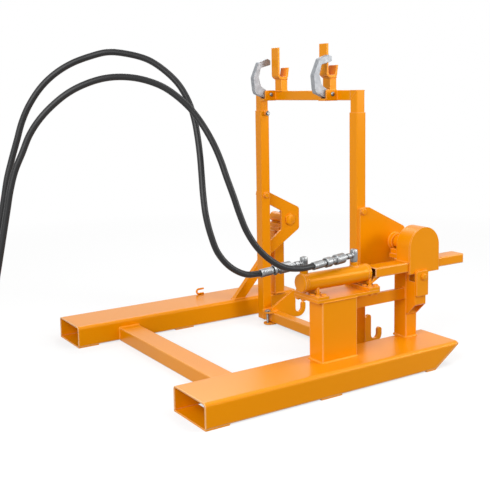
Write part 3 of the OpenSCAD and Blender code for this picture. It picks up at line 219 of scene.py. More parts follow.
def turned(start, axis, profile, flats=None, sides=48, turn=0):
    """A lathe shape: rings about an axis at the profile's distances, with its radii. With flats, a radius
    is the smaller of the profile's and the hexagon's edge in that direction, which cuts a chamfered
    hexagon. A profile whose last point is its first makes a hollow ring."""
    axis = unit(np.array(axis, float))
    across = unit(np.cross(axis, (0, 0, 1) if abs(axis[2]) < 0.9 else (0, 1, 0)))
    beside = np.cross(axis, across)
    distance, radius = np.array(profile, float).T
    angle = np.arange(sides) * 2 * math.pi / sides
    edge = np.full(sides, np.inf)
    if flats:
        edge = flats / 2 / np.cos((angle + math.pi / 6) % (math.pi / 3) - math.pi / 6)
    reach = np.minimum(radius[:, None], edge)[..., None]
    angle = (angle + turn)[None, :, None]
    return np.array(start, float) + distance[:, None, None] * axis + reach * (
        np.cos(angle) * across + np.sin(angle) * beside)


def chamfered(start, end, radius, chamfer=1):
    """Profile of a bar whose two end edges are cut back by the chamfer."""
    return [(start, radius - chamfer), (start + chamfer, radius),
            (end - chamfer, radius), (end, radius - chamfer)]


def spanner_profile(start, end, flats):
    """Profile of a hexagon bar: at each end its radius falls in a straight line from the hexagon's corner
    to just under the flats, on a cut 1.6 times as long as a cone of 30 degrees gives."""
    corner, turned_down = flats / 2 / math.cos(math.pi / 6), flats / 2 * 0.97
    cut = (corner - turned_down) * math.tan(math.radians(30)) * 1.6
    steps = np.linspace(0, 1, 5)
    rise = np.stack([start + cut * steps, turned_down + (corner - turned_down) * steps], axis=1)
    fall = np.stack([end - cut * steps, turned_down + (corner - turned_down) * steps], axis=1)[::-1]
    return np.vstack([rise, fall])


# Bright zinc plate on turned and forged steel: silver with a faint blue cast, satin flats, fine turning
# marks 0.2 mm apart, drawn 1.5 mm apart, and painted shade: darker where it faces down or lies in a groove.
zinc, tree = new_finish("bright_zinc_plated_steel")
place = add(tree, "ShaderNodeTexCoord").outputs["Object"]
cloud = add(tree, "ShaderNodeTexNoise", {"Vector": place, "Scale": 60, "Detail": 4}).outputs["Fac"]
marks = add(tree, "ShaderNodeTexNoise", {"Vector": place, "Scale": 700, "Detail": 2}).outputs["Fac"]
tone = add(tree, "ShaderNodeMix", {SHARE: cloud, LOW: linear("#85888B"), HIGH: linear("#B4B5B4")},
           data_type="RGBA").outputs[MIXED]
# Painted shade: faces turned down are mixed towards a dark grey.
facing = add(tree, "ShaderNodeTexCoord").outputs["Normal"]
upward = add(tree, "ShaderNodeSeparateXYZ", {0: facing}).outputs["Z"]
grease_film_and_painted_underside_shade = add(tree, "ShaderNodeMapRange", {"Value": upward, "From Min": -0.75, "From Max": 0.35}).outputs[0]
tone = add(tree, "ShaderNodeMix", {SHARE: grease_film_and_painted_underside_shade, LOW: linear("#3E3E40"), HIGH: tone},
           data_type="RGBA").outputs[MIXED]
# Painted shade: grooves and recesses, found by ambient occlusion, are mixed towards a near black.
painted_shade_occlusion = add(tree, "ShaderNodeAmbientOcclusion", {"Distance": 0.009}, samples=8).outputs["AO"]
painted_recess_shade = add(tree, "ShaderNodeMapRange", {"Value": painted_shade_occlusion, "From Min": 0.25, "From Max": 0.85}).outputs[0]
tone = add(tree, "ShaderNodeMix", {SHARE: painted_recess_shade, LOW: linear("#2A2A2B"), HIGH: tone},
           data_type="RGBA").outputs[MIXED]
dull = add(tree, "ShaderNodeMapRange", {"Value": cloud, "To Min": 0.36, "To Max": 0.46}).outputs[0]
edge = add(tree, "ShaderNodeBevel", {"Radius": 0.0006}, samples=4).outputs[0]
depth = add(tree, "ShaderNodeBump", {"Height": marks, "Strength": 0.25, "Distance": 0.0002,
            "Normal": edge}).outputs[0]
plate = add(tree, "ShaderNodeBsdfPrincipled", {"Base Color": tone, "Metallic": 1, "Roughness": dull,
            "Normal": depth})
add(tree, "ShaderNodeOutputMaterial", {"Surface": plate.outputs[0]})


def make_coupler(name, end):
    """Hexagon, knurled sleeve and nose along -X, from the hose's last point. The knurl's radius grows by
    the product of two sines of the angle, one turned forwards and one back along the axis, so that its
    ridges cross."""
    away, sides = np.array([-1, 0, 0]), 96
    share = np.linspace(0, 1, 25)
    band = np.stack([KNURL_START + (KNURL_END - KNURL_START) * share,
                     np.full(len(share), SLEEVE_RADIUS - KNURL_SINK)], axis=1)
    knurl = turned(end, away, band, sides=sides)
    centre = (np.array(end) + away * band[:, :1])[:, None]
    angle = KNURL_COUNT * np.arange(sides) * 2 * math.pi / sides
    turn = KNURL_TWIST * share[:, None]
    lift = 1 + KNURL_HEIGHT * np.abs(np.sin(angle + turn) * np.sin(angle - turn))
    return make_piece(name, [
        turned(end, away, chamfered(0, 10, 11.5)),
        turned(end, away, spanner_profile(6, 24, flats=26)),
        turned(end, away, chamfered(23, 31, 11)),
        turned(end, away, chamfered(SLEEVE_START, SLEEVE_END, SLEEVE_RADIUS), sides=sides),
        centre + (knurl - centre) * lift[..., None],
        turned(end, away, [(56, 12.5), (66, 12.5), (69, 11.5), (70, 10), (70, 7.5), (66, 7.5), (66, 2)]),
    ], zinc, "base")


upper_coupler = make_coupler("upper_coupler", UPPER_ROUTE[-1])
lower_coupler = make_coupler("lower_coupler", LOWER_ROUTE[-1])
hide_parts("upper_hose_coupler")
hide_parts("lower_hose_coupler")

# Base frame: two fork pockets of 5 mm bent sheet with bevelled noses, the rear cross tube, the straps
# below, the two stanchions, the flat brace, and a hose hook of 8 mm rod on the far pocket. All is welded
# mild steel under one coat of orange.

# Gloss alkyd enamel, sprayed over the welds: a clear orange with a skin like orange peel, a soft
# reflection, painted shade in deep corners, and a painted highlight, a paler colour, on edges. The peel is
# 1 mm wide and drawn 5 mm wide. Tubes and bent sheet have round corners, which catch the light; plates are
# cut square.


def orange_enamel(name, low, high, edge, corner):
    """The paint in a darker and a lighter orange, with a painted highlight in the edge colour on edges,
    which have the given corner radius, and painted shade in deep corners. An edge is where the face's
    direction and the rounded one differ: their dot product is under one."""
    made, tree = new_finish(name)
    place = add(tree, "ShaderNodeTexCoord").outputs["Object"]
    drift = add(tree, "ShaderNodeTexNoise", {"Vector": place, "Scale": 7, "Detail": 3}).outputs["Fac"]
    cloud = add(tree, "ShaderNodeTexNoise", {"Vector": place, "Scale": 45, "Detail": 5,
                "Roughness": 0.6}).outputs["Fac"]
    peel = add(tree, "ShaderNodeTexNoise", {"Vector": place, "Scale": 200, "Detail": 2}).outputs["Fac"]
    face = add(tree, "ShaderNodeNewGeometry").outputs["Normal"]
    rounded = add(tree, "ShaderNodeBevel", {"Radius": corner * MM}, samples=6).outputs[0]
    lean = add(tree, "ShaderNodeVectorMath", {0: face, 1: rounded},
               operation="DOT_PRODUCT").outputs["Value"]
    # Painted highlight: edges, where a round corner would catch the light, are mixed towards a paler
    # colour.
    painted_edge_highlight = add(tree, "ShaderNodeMapRange", {"Value": lean, "From Min": 0.998, "From Max": 0.9}).outputs[0]
    tone = add(tree, "ShaderNodeMix", {SHARE: drift, LOW: linear(low), HIGH: linear(high)},
               data_type="RGBA").outputs[MIXED]
    tone = add(tree, "ShaderNodeMix", {SHARE: cloud, LOW: tone, HIGH: linear("#EA9000")},
               data_type="RGBA").outputs[MIXED]
    tone = add(tree, "ShaderNodeMix", {SHARE: painted_edge_highlight, LOW: tone, HIGH: linear(edge)},
               data_type="RGBA").outputs[MIXED]
    # Painted shade: deep corners, found by ambient occlusion, are mixed towards a dark brown.
    painted_shade_occlusion = add(tree, "ShaderNodeAmbientOcclusion", {"Distance": 0.03}, samples=8).outputs["AO"]
    painted_corner_shade = add(tree, "ShaderNodeMapRange", {"Value": painted_shade_occlusion, "From Min": 0.02,
                "From Max": 0.36}).outputs[0]
    tone = add(tree, "ShaderNodeMix", {SHARE: painted_corner_shade, LOW: linear("#643400"), HIGH: tone},
               data_type="RGBA").outputs[MIXED]
    gloss = add(tree, "ShaderNodeMapRange", {"Value": drift, "To Min": 0.26, "To Max": 0.32}).outputs[0]
    depth = add(tree, "ShaderNodeBump", {"Height": peel, "Strength": 0.15, "Distance": 0.0006,
                "Normal": rounded}).outputs[0]
    coat = add(tree, "ShaderNodeBsdfPrincipled", {"Base Color": tone, "Roughness": gloss, "IOR": 1.5,
               "Specular Tint": linear("#FFA64A"), "Normal": depth})
    add(tree, "ShaderNodeOutputMaterial", {"Surface": coat.outputs[0]})
    return made


# The last colour of each finish is a painted highlight on its edges.
enamel = orange_enamel("orange_gloss_enamel", "#E78D00", "#EE9600", "#FFC07C", 1.8)
tube_enamel = orange_enamel("orange_gloss_enamel_on_tube", "#E78D00", "#EE9600", "#FFCE98", 6)
# The paint on welds is a lighter copy of the enamel: a painted highlight on the beads.
weld_enamel_painted_lighter = orange_enamel("orange_gloss_enamel_lighter_on_weld", "#F29A28", "#FFB050", "#FFC888", 1.2)


def finish_nodes(finish, *names):
    """Gives CAD nodes a finish in place of their plain colour."""
    for name in names:
        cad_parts[name].data.materials.clear()
        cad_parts[name].data.materials.append(finish)


finish_nodes(tube_enamel, "near_fork_pocket", "far_fork_pocket", "rear_cross_tube", "near_stanchion",
             "far_stanchion")
finish_nodes(enamel, "bottom_straps", "nose_plates", "far_brace", "hose_hook")


RIPPLE = 5


def bead(points, up, size):
    """A fillet weld along a path of straight runs: rings whose radius is the size times a swell for each
    ripple and a slow drift, and less where the arc starts and stops. A ripple is 2 mm long on the real
    weld and is drawn 5 mm long."""
    path = np.array(points, float)
    corners = np.concatenate([[0], np.cumsum(np.linalg.norm(np.diff(path, axis=0), axis=1))])
    place = np.linspace(0, corners[-1], int(corners[-1] / 1.7) + 4)
    line = np.stack([np.interp(place, corners, path[:, i]) for i in range(3)], axis=1)
    along = unit(np.gradient(line, axis=0))
    up = np.broadcast_to(np.array(up, float), line.shape)
    across = unit(np.cross(up, along))
    swell = (0.88 + 0.16 * np.abs(np.sin(math.pi * place / RIPPLE))
             + 0.06 * np.sin(place / 9 + path[0].sum()))
    taper = np.sqrt(np.clip(np.minimum(place, corners[-1] - place) / size, 0.1, 1))
    radius = (size * swell * taper)[:, None, None]
    angle = (np.arange(10) * 2 * math.pi / 10)[None, :, None]
    return line[:, None] + radius * (np.cos(angle) * across[:, None] + np.sin(angle) * up[:, None])


def box_path(low, high, axis, level):
    """The four corners of a rectangle square to an axis, and its first corner again."""
    (a0, b0), (a1, b1) = low, high
    corners = np.array([[a0, b0], [a1, b0], [a1, b1], [a0, b1], [a0, b0]], float)
    return np.insert(corners, axis, level, axis=1)


# Welds of the base frame: ripples of metal round each tube's foot, along the brace and the cross tube,
# painted over with the rest in a lighter orange, which is a painted highlight. Each follows the edges of
# the pieces that it joins.
X_AXIS, Y_AXIS, Z_AXIS = (1, 0, 0), (0, 1, 0), (0, 0, 1)
POCKET_TOP, POCKET_INNER_Y = 80, 372
STANCHION_BACK, STANCHION_FRONT, STANCHION_TOP = 319.5, 369.5, 350
STANCHION_Y, STANCHION_HALF = 394, 29.5
COLUMN_LOW, COLUMN_HIGH, PLATE_BOTTOM = (-84, -477.5), (55, -408.5), 275
TIE_BAR_START, TIE_BAR_LOW, TIE_BAR_HIGH = 55.5, (-420, 217), (-408, 255)
BRACE_SIDES_Y, BRACE_FOOT_X, BRACE_TOP_Z = (379, 399), (123.5, 178.4), (239, 300)
BRACKET_Y, BRACKET_ENDS_Z = -424, (166, 283)
HOUSING_SIDES_X, HOUSING_ENDS_Y, RACK_TUBE_TOP = (294.5, 428.5), (-460, -402), 352
CROSS_TUBE_BACK, CROSS_TUBE_FRONT, CROSS_TUBE_TOP, CROSS_WELD_FOOT = -392.5, -312.5, 50, 4
PIVOT_X, PIVOT_Z = 361.5, 400
SEAT_CORNERS_Y = [(364, 423), (-364, -395)]
UPPER_SEAT_TOP, UPPER_SEAT_HALF = 380.5, 9.2
UPPER_SEAT_ENDS_Y = {-1: (-400, -342), 1: (330, 423)}
base_welds = []
for side in (-1, 1):
    base_welds.append(bead(box_path(
        (STANCHION_BACK + 0.5, side * STANCHION_Y - STANCHION_HALF),
        (STANCHION_FRONT - 0.5, side * STANCHION_Y + STANCHION_HALF), 2, POCKET_TOP), Z_AXIS, size=4.5))
base_welds += [
    bead(box_path(COLUMN_LOW, COLUMN_HIGH, 2, POCKET_TOP), Z_AXIS, size=5),
    bead(box_path(COLUMN_LOW, COLUMN_HIGH, 2, PLATE_BOTTOM), Z_AXIS, size=3.5),
    bead(box_path(TIE_BAR_LOW, TIE_BAR_HIGH, 0, TIE_BAR_START), X_AXIS, size=3.5),
    bead(box_path(TIE_BAR_LOW, TIE_BAR_HIGH, 0, STANCHION_BACK), X_AXIS, size=3.5),
    bead(box_path(*zip(BRACE_FOOT_X, BRACE_SIDES_Y), 2, POCKET_TOP), Z_AXIS, size=4),
    bead(box_path(*zip(BRACE_SIDES_Y, BRACE_TOP_Z), 0, STANCHION_BACK), X_AXIS, size=4),
]
for x in (STANCHION_BACK, STANCHION_FRONT):
    base_welds.append(bead([[x, BRACKET_Y, z] for z in BRACKET_ENDS_Z], X_AXIS, size=3))
for x in HOUSING_SIDES_X:
    base_welds.append(bead([[x, y, RACK_TUBE_TOP] for y in HOUSING_ENDS_Y], X_AXIS, size=3.5))
for inner_y, outer_y in SEAT_CORNERS_Y:
    corners = [(STANCHION_BACK + 0.5, inner_y), (STANCHION_FRONT, inner_y), (STANCHION_FRONT, outer_y)]
    base_welds.append(bead([[x, y, STANCHION_TOP] for x, y in corners], Z_AXIS, size=4))
for side, ends in UPPER_SEAT_ENDS_Y.items():
    corners = [(CROSS_TUBE_BACK, CROSS_WELD_FOOT), (CROSS_TUBE_BACK, CROSS_TUBE_TOP),
               (CROSS_TUBE_FRONT, CROSS_TUBE_TOP), (CROSS_TUBE_FRONT, CROSS_WELD_FOOT)]
    base_welds.append(bead([[x, side * POCKET_INNER_Y, z] for x, z in corners], Y_AXIS, size=4.5))
    for x in (PIVOT_X - UPPER_SEAT_HALF, PIVOT_X + UPPER_SEAT_HALF):
        base_welds.append(bead([[x, y, UPPER_SEAT_TOP] for y in ends], Z_AXIS, size=3.5))
make_piece("base_welds", base_welds, weld_enamel_painted_lighter, "base", sharp=60)

# Pedestal: a column with a plate welded on top, and the flat tie bar that braces it against the
# stanchion. Eight bolts hold each of the cylinder's feet, sprayed over with the frame.
finish_nodes(tube_enamel, "pedestal_column")
finish_nodes(enamel, "pedestal_top_plate", "tie_bar", "cylinder_feet")
FOOT_PAD_TOP = 295
BOLT_PLACES = [(x, y) for x in (-95.5, -70.5, 118.5, 143.5) for y in (-467, -440, -393, -366)]
BOLT_FLATS, BOLT_RADIUS = 15, 4
THREAD_PITCH, THREAD_DEPTH = 1.25, 0.55
DOWN = (0, 0, -1)


def bolt_head(place, axis, flats, height, washer=1.6):
    """A washer and a hexagon head. Over its outer edge the radius falls in a straight line from the
    hexagon's corner to 0.46 of the flats."""
    corner = flats / 2 / math.cos(math.pi / 6)
    steps = np.linspace(0, 1, 5)
    dome = np.stack([height - 0.11 * flats * (1 - steps), corner + (flats * 0.46 - corner) * steps], axis=1)
    head = np.vstack([[[washer, corner]], dome])
    return [turned(place, axis, chamfered(0, washer, flats * 0.72, 0.3)),
            turned(place, axis, head, flats, turn=0.3)]


def threaded_end(place, axis, start, end, radius):
    """A screw's end: the radius rises and falls with each turn of the thread, and the tip is cut back."""
    distance = np.linspace(start, end, int((end - start) / 0.3) + 2)
    groove = radius - THREAD_DEPTH * np.abs(((distance / THREAD_PITCH) % 1) - 0.5)
    groove[-3:] = radius - np.array([0.4, 0.8, 1.2])
    return turned(place, axis, np.stack([distance, groove], axis=1), sides=24)


# A bolt over the column, or closer to it than its own width, ends in the plate. The others show a nut
# and a thread below it.
foot_bolts = []
for x, y in BOLT_PLACES:
    foot_bolts += bolt_head((x, y, FOOT_PAD_TOP), Z_AXIS, BOLT_FLATS, height=6)
    if x > COLUMN_HIGH[0] + BOLT_FLATS or y > COLUMN_HIGH[1] + BOLT_FLATS:
        below = (x, y, PLATE_BOTTOM)
        foot_bolts += bolt_head(below, DOWN, BOLT_FLATS, height=7, washer=1.2)
        foot_bolts.append(threaded_end(below, DOWN, start=-20, end=8.8, radius=BOLT_RADIUS))
foot_bolts = make_piece("cylinder_foot_bolts", foot_bolts, enamel, "base")
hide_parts("foot_bolts")

# Hydraulic cylinder: a drawn steel barrel with a welded end cap, two low rounded ridges near it and two
# welded port bosses, all in the frame's orange. Its chromed rod runs out through the gland.
AXIS_Y, AXIS_Z = -432, 337
BARREL_START, BARREL_END = -138.5, 135.5
BARREL_RADIUS, BORE_RADIUS = 28.5, 22.5
SHELL_START, SHELL_END = 3.6, 262
RIDGE_PLACES, RIDGE_HEIGHT, RIDGE_HALF = (9.5, 16), 2.2, 3
PORT_X, PORT_RADIUS, PORT_TOP = (-121.5, 80.5), 13, 378
GLAND_LENGTH = 12


def ridge(place):
    """Profile points of one ridge: half a turn of a circle, stretched to its height and half width."""
    turn = np.linspace(0, math.pi, 7)
    return [(place - RIDGE_HALF * math.cos(a), BARREL_RADIUS + RIDGE_HEIGHT * math.sin(a)) for a in turn]


rear_of_barrel = (BARREL_START, AXIS_Y, AXIS_Z)
barrel_profile = [(SHELL_START, BARREL_RADIUS), (5, BARREL_RADIUS + 0.9), (6.5, BARREL_RADIUS),
                  *ridge(RIDGE_PLACES[0]), *ridge(RIDGE_PLACES[1]), (SHELL_END - 0.8, BARREL_RADIUS),
                  (SHELL_END, BARREL_RADIUS - 0.8), (SHELL_END, BORE_RADIUS), (SHELL_START, BORE_RADIUS),
                  (SHELL_START, BARREL_RADIUS)]
barrel = [turned(rear_of_barrel, X_AXIS, barrel_profile, sides=96)]
for x in PORT_X:
    boss = PORT_TOP - AXIS_Z
    boss_profile = [(23.5, PORT_RADIUS), (boss - 1.2, PORT_RADIUS), (boss, PORT_RADIUS - 1.2)]
    barrel.append(turned((x, AXIS_Y, AXIS_Z), Z_AXIS, boss_profile, sides=64))
    spin = np.linspace(0, 2 * math.pi, 61)
    ring_y = PORT_RADIUS * np.sin(spin)
    ring_z = np.sqrt(BARREL_RADIUS**2 - ring_y**2)
    ring = np.stack([x + PORT_RADIUS * np.cos(spin), AXIS_Y + ring_y, AXIS_Z + ring_z], axis=1)
    barrel.append(bead(ring, Z_AXIS, size=2.6))
barrel = make_piece("cylinder_tube", barrel, enamel, "base")
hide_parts("cylinder_barrel")
cap_profile = [(0, 24.5), (0.3, 26.8), (1.2, 28), (2.4, 28.5), (4, 28.5), (4, 22.4), (10, 22.4)]
end_cap = make_piece("cylinder_cap", [turned(rear_of_barrel, X_AXIS, cap_profile, sides=96)],
                     enamel, "base")
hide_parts("cylinder_end_cap")
gland_profile = [(0, 28.4), (1, 28.5), (10.6, 28.5), (GLAND_LENGTH, 27.1), (GLAND_LENGTH, 14), (10.5, 13.2),
                 (10.5, 10.6), (0, 10.1), (0, 28.4)]
gland_place = (BARREL_END - GLAND_LENGTH, AXIS_Y, AXIS_Z)
gland = make_piece("cylinder_gland_ring", [turned(gland_place, X_AXIS, gland_profile, sides=96)],
                   enamel, "base")
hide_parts("cylinder_gland")

# Piston, rod and rack: a turned piston with its rubber seal, a hard-chromed rod, and a milled steel rack
# that the rod pushes and pulls inside its tube. The rack runs on a bronze strip.

# Milled and ground steel: plain grey metal with close tool marks along X, 0.3 mm apart, drawn 1.5 mm
# apart, and a film of grease that dulls it in patches.
milled, tree = new_finish("milled_steel_with_grease")
place = add(tree, "ShaderNodeTexCoord").outputs["Object"]
wide = add(tree, "ShaderNodeMapping", {"Vector": place, "Scale": (1, 12, 12)}).outputs[0]
marks = add(tree, "ShaderNodeTexNoise", {"Vector": wide, "Scale": 60, "Detail": 3}).outputs["Fac"]
grease_film_and_painted_underside_shade = add(tree, "ShaderNodeTexNoise", {"Vector": place, "Scale": 25, "Detail": 4}).outputs["Fac"]
tone = add(tree, "ShaderNodeMix", {SHARE: grease_film_and_painted_underside_shade, LOW: linear("#6F7073"), HIGH: linear("#A2A3A6")},
           data_type="RGBA").outputs[MIXED]
dull = add(tree, "ShaderNodeMapRange", {"Value": grease_film_and_painted_underside_shade, "To Min": 0.25, "To Max": 0.5}).outputs[0]
depth = add(tree, "ShaderNodeBump", {"Height": marks, "Strength": 0.2, "Distance": 0.0003}).outputs[0]
steel = add(tree, "ShaderNodeBsdfPrincipled", {"Base Color": tone, "Metallic": 1, "Roughness": dull,
            "Normal": depth})
add(tree, "ShaderNodeOutputMaterial", {"Surface": steel.outputs[0]})
finish_nodes(milled, "piston", "rack", "near_drive_shaft", "shaft_key", "pinion")

# Hard chrome on a ground rod: bright and even, with an oil film that softens it slightly in long streaks.
chrome, tree = new_finish("hard_chromed_rod")
place = add(tree, "ShaderNodeTexCoord").outputs["Object"]
streak = add(tree, "ShaderNodeMapping", {"Vector": place, "Scale": (1, 8, 8)}).outputs[0]
oil = add(tree, "ShaderNodeTexNoise", {"Vector": streak, "Scale": 20, "Detail": 3}).outputs["Fac"]
tone = add(tree, "ShaderNodeMix", {SHARE: oil, LOW: linear("#B9BABD"), HIGH: linear("#D9DADC")},
           data_type="RGBA").outputs[MIXED]
dull = add(tree, "ShaderNodeMapRange", {"Value": oil, "To Min": 0.06, "To Max": 0.2}).outputs[0]
rod = add(tree, "ShaderNodeBsdfPrincipled", {"Base Color": tone, "Metallic": 1, "Roughness": dull})
add(tree, "ShaderNodeOutputMaterial", {"Surface": rod.outputs[0]})
finish_nodes(chrome, "piston_rod")

# Sintered bronze of the bushes and the slide strip: dull yellow-brown metal with fine pores, 0.2 mm wide
# and drawn 1 mm wide.
bronze, tree = new_finish("sintered_bronze")
place = add(tree, "ShaderNodeTexCoord").outputs["Object"]
pores = add(tree, "ShaderNodeTexNoise", {"Vector": place, "Scale": 900, "Detail": 2}).outputs["Fac"]
cloud = add(tree, "ShaderNodeTexNoise", {"Vector": place, "Scale": 40, "Detail": 4}).outputs["Fac"]
tone = add(tree, "ShaderNodeMix", {SHARE: cloud, LOW: linear("#8F6B35"), HIGH: linear("#B98D4C")},
           data_type="RGBA").outputs[MIXED]
depth = add(tree, "ShaderNodeBump", {"Height": pores, "Strength": 0.3, "Distance": 0.0003}).outputs[0]
bearing = add(tree, "ShaderNodeBsdfPrincipled", {"Base Color": tone, "Metallic": 1, "Roughness": 0.42,
              "Normal": depth})
add(tree, "ShaderNodeOutputMaterial", {"Surface": bearing.outputs[0]})
finish_nodes(bronze, "bearing_bushes", "rack_slide_pad")

# Nitrile rubber of the piston seal: black, smooth and oily.
seal, tree = new_finish("oiled_nitrile_rubber")
place = add(tree, "ShaderNodeTexCoord").outputs["Object"]
oil = add(tree, "ShaderNodeTexNoise", {"Vector": place, "Scale": 120, "Detail": 3}).outputs["Fac"]
tone = add(tree, "ShaderNodeMix", {SHARE: oil, LOW: linear("#161617"), HIGH: linear("#262627")},
           data_type="RGBA").outputs[MIXED]
dull = add(tree, "ShaderNodeMapRange", {"Value": oil, "To Min": 0.2, "To Max": 0.4}).outputs[0]
ring = add(tree, "ShaderNodeBsdfPrincipled", {"Base Color": tone, "Roughness": dull, "IOR": 1.52})
add(tree, "ShaderNodeOutputMaterial", {"Surface": ring.outputs[0]})
finish_nodes(seal, "piston_seal")

# Rack tube and pinion housing: a flat steel tube closed at its far end, and a round-topped housing of
# bent and welded plate over the pinion, with its bracket and clamp plate on the near stanchion.
finish_nodes(tube_enamel, "rack_tube")
finish_nodes(enamel, "pinion_housing", "housing_cover", "housing_bracket", "clamp_plate",
             "bearing_seats")
CLAMP_BOLT_X, CLAMP_BOLT_Z, CLAMP_FACE_Y, CLAMP_THICKNESS = 347.5, 300, -478, 10
clamp_face = (CLAMP_BOLT_X, CLAMP_FACE_Y, CLAMP_BOLT_Z)
clamp_nut = (CLAMP_BOLT_X, CLAMP_FACE_Y + CLAMP_THICKNESS, CLAMP_BOLT_Z)
clamp_bolt = make_piece("clamp_bolt", [
    turned(clamp_face, (0, -1, 0), [(0, 11), (4.5, 11), (6.2, 10), (7, 8)]),
    turned(clamp_face, Y_AXIS, chamfered(-1, 24, radius=6)),
    turned(clamp_nut, Y_AXIS, spanner_profile(0, 10, flats=18)),
], enamel, "base")
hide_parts("clamp_plate_bolt")

# Bearings: a painted steel tube with a bronze bush on each side, welded on stacked seat plates, and a
# grease nipple in the top of each.
BEARING_STARTS_Y, BEARING_LENGTHS = (-400, 326), (64, 101)
SHELL_RADIUS, BUSH_RADIUS, SHELL_CHAMFER, NIPPLE_FOOT = 22, 18.6, 0.8, 18.5
bearing_tubes, nipples = [], []
for start, length in zip(BEARING_STARTS_Y, BEARING_LENGTHS):
    bearing_tubes.append(turned((PIVOT_X, start, PIVOT_Z), Y_AXIS, [
        (0, BUSH_RADIUS), *chamfered(0, length, SHELL_RADIUS, SHELL_CHAMFER), (length, BUSH_RADIUS),
        (0, BUSH_RADIUS)], sides=72))
    foot = (PIVOT_X, start + length / 2, PIVOT_Z + NIPPLE_FOOT)
    nipples += [turned(foot, Z_AXIS, spanner_profile(4.1, 8.5, flats=9)),
                turned(foot, Z_AXIS, [(0.2, 3), (9, 3), (11, 2.2), (12.4, 2), (13.4, 3.1), (15.2, 3.1),
                                      (16.6, 2), (17, 0.8)])]
bearing_tubes = make_piece("bearing_shells", bearing_tubes, enamel, "base")
nipples = make_piece("grease_fittings", nipples, zinc, "base")
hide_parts("bearing_tubes")
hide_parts("grease_nipples")

# Hydraulic fittings: forged elbows screwed into the ports, an adapter with a long hexagon, the hose's
# swivel nut, and the ferrule that is crimped on the hose. All are zinc-plated steel.
LINE_Z, UPPER_NUT, LOWER_NUT = 401, 23, 62
ELBOW_HALF, ELBOW_CORNER, ELBOW_TOP, ELBOW_END = 11, 6, 420, 19
NECK_FLATS, ADAPTER_FLATS, NUT_FLATS = 17, 29, 27.5
FERRULE, ADAPTER = 40, 52
FERRULE_RADIUS, CRIMP_DEPTH, CRIMP_COUNT, CRIMP_PITCH = 12.5, 1, 5, 5.6


def rounded_loop(half, radius, steps=6):
    """A square about the origin with each corner turned on an arc."""
    angle = np.linspace(0, math.pi / 2, steps)
    inset = half - radius
    return np.vstack([np.stack([x * inset + radius * np.cos(angle + turn),
                                y * inset + radius * np.sin(angle + turn)], axis=1)
                      for x, y, turn in ((1, 1, 0), (-1, 1, math.pi / 2), (-1, -1, math.pi),
                                         (1, -1, 1.5 * math.pi))])


def block(place, rows):
    """An upright forging: rounded squares at the given heights, each shrunk by its own amount."""
    loops = [rounded_loop(ELBOW_HALF - shrink, ELBOW_CORNER) + place[:2] for height, shrink in rows]
    return np.stack([np.insert(loop, 2, height, axis=1) for loop, (height, shrink) in zip(loops, rows)])


elbows, fittings, ferrules = [], [], []
for x, hose_start, nut in zip(PORT_X, (UPPER_ROUTE[0], LOWER_ROUTE[0]), (UPPER_NUT, LOWER_NUT)):
    port = (x, AXIS_Y, LINE_Z)
    reach = np.array(hose_start, float) - port
    length = np.linalg.norm(reach)
    elbows += [
        block(port, [(PORT_TOP, 3), (PORT_TOP + 1.5, 1.2), (PORT_TOP + 8, 0.4), (ELBOW_TOP - 14, 0.4),
                     (ELBOW_TOP - 4, 0.4), (ELBOW_TOP - 1.5, 1.4), (ELBOW_TOP, 3.4)]),
        turned(port, reach, [(0, 9), (ELBOW_HALF + 1, 9), (ELBOW_HALF + 2, 7.4), (ELBOW_HALF + 3.4, 7.4),
                             (ELBOW_HALF + 4, 8.8), (ELBOW_END - 0.6, 8.8), (ELBOW_END, 7.6)])]
    nut_start = length - FERRULE - nut
    hexagon_start = nut_start - ADAPTER
    neck = hexagon_start - ELBOW_END
    fittings += [
        turned(port, reach, [(ELBOW_END - 1, 7), (hexagon_start + 1, 7)]),
        turned(port, reach, spanner_profile(ELBOW_END + 2, ELBOW_END + neck * 0.5, NECK_FLATS)),
        turned(port, reach, [(hexagon_start - neck * 0.4, 6.9), (hexagon_start - neck * 0.34, 8.4),
                             (hexagon_start - neck * 0.12, 8.4), (hexagon_start, 7.6)]),
        turned(port, reach, [(hexagon_start - 1, 7.5), (hexagon_start + 5, 13)]),
        turned(port, reach, spanner_profile(hexagon_start + 3, hexagon_start + 46, ADAPTER_FLATS)),
        turned(port, reach, [(hexagon_start + 45, 12.5), (hexagon_start + 50, 10.4)]),
        turned(port, reach, [
            (hexagon_start + 49, 9.5), (hexagon_start + 51.5, 9.5), (hexagon_start + 52.5, 12),
            (hexagon_start + 55, 12.6), (nut_start + 0.18 * nut, 12.6), (nut_start + 0.2 * nut, 10.5),
            (nut_start + 0.25 * nut, 10.5), (nut_start + 0.27 * nut, 11)]),
        turned(port, reach, spanner_profile(nut_start + 0.28 * nut, nut_start + 0.68 * nut, NUT_FLATS)),
        turned(port, reach, [(nut_start + 0.66 * nut, 9.4), (length - FERRULE + 1, 9.4)])]
    start = length - FERRULE - 0.14 * nut
    crimp = [(start, 9.6), (start, 11.2), (start + 0.8, 12), (start + 4, 12), (start + 5, FERRULE_RADIUS)]
    for groove in range(CRIMP_COUNT):
        at = start + 7.5 + groove * CRIMP_PITCH
        crimp += [(at, FERRULE_RADIUS), (at + 1, FERRULE_RADIUS - CRIMP_DEPTH),
                  (at + 2.4, FERRULE_RADIUS - CRIMP_DEPTH), (at + 3.4, FERRULE_RADIUS)]
    crimp += [(length - 1.2, FERRULE_RADIUS), (length - 0.2, 11.6), (length, 10.6), (length, 9.6)]
    ferrules.append(turned(port, reach, crimp))
elbows = make_piece("forged_elbows", elbows, zinc, "base")
fittings = make_piece("hose_adapters", fittings, zinc, "base")
ferrules = make_piece("crimped_ferrules", ferrules, zinc, "base")
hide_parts("port_elbows")
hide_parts("line_fittings")
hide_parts("hose_ferrules")

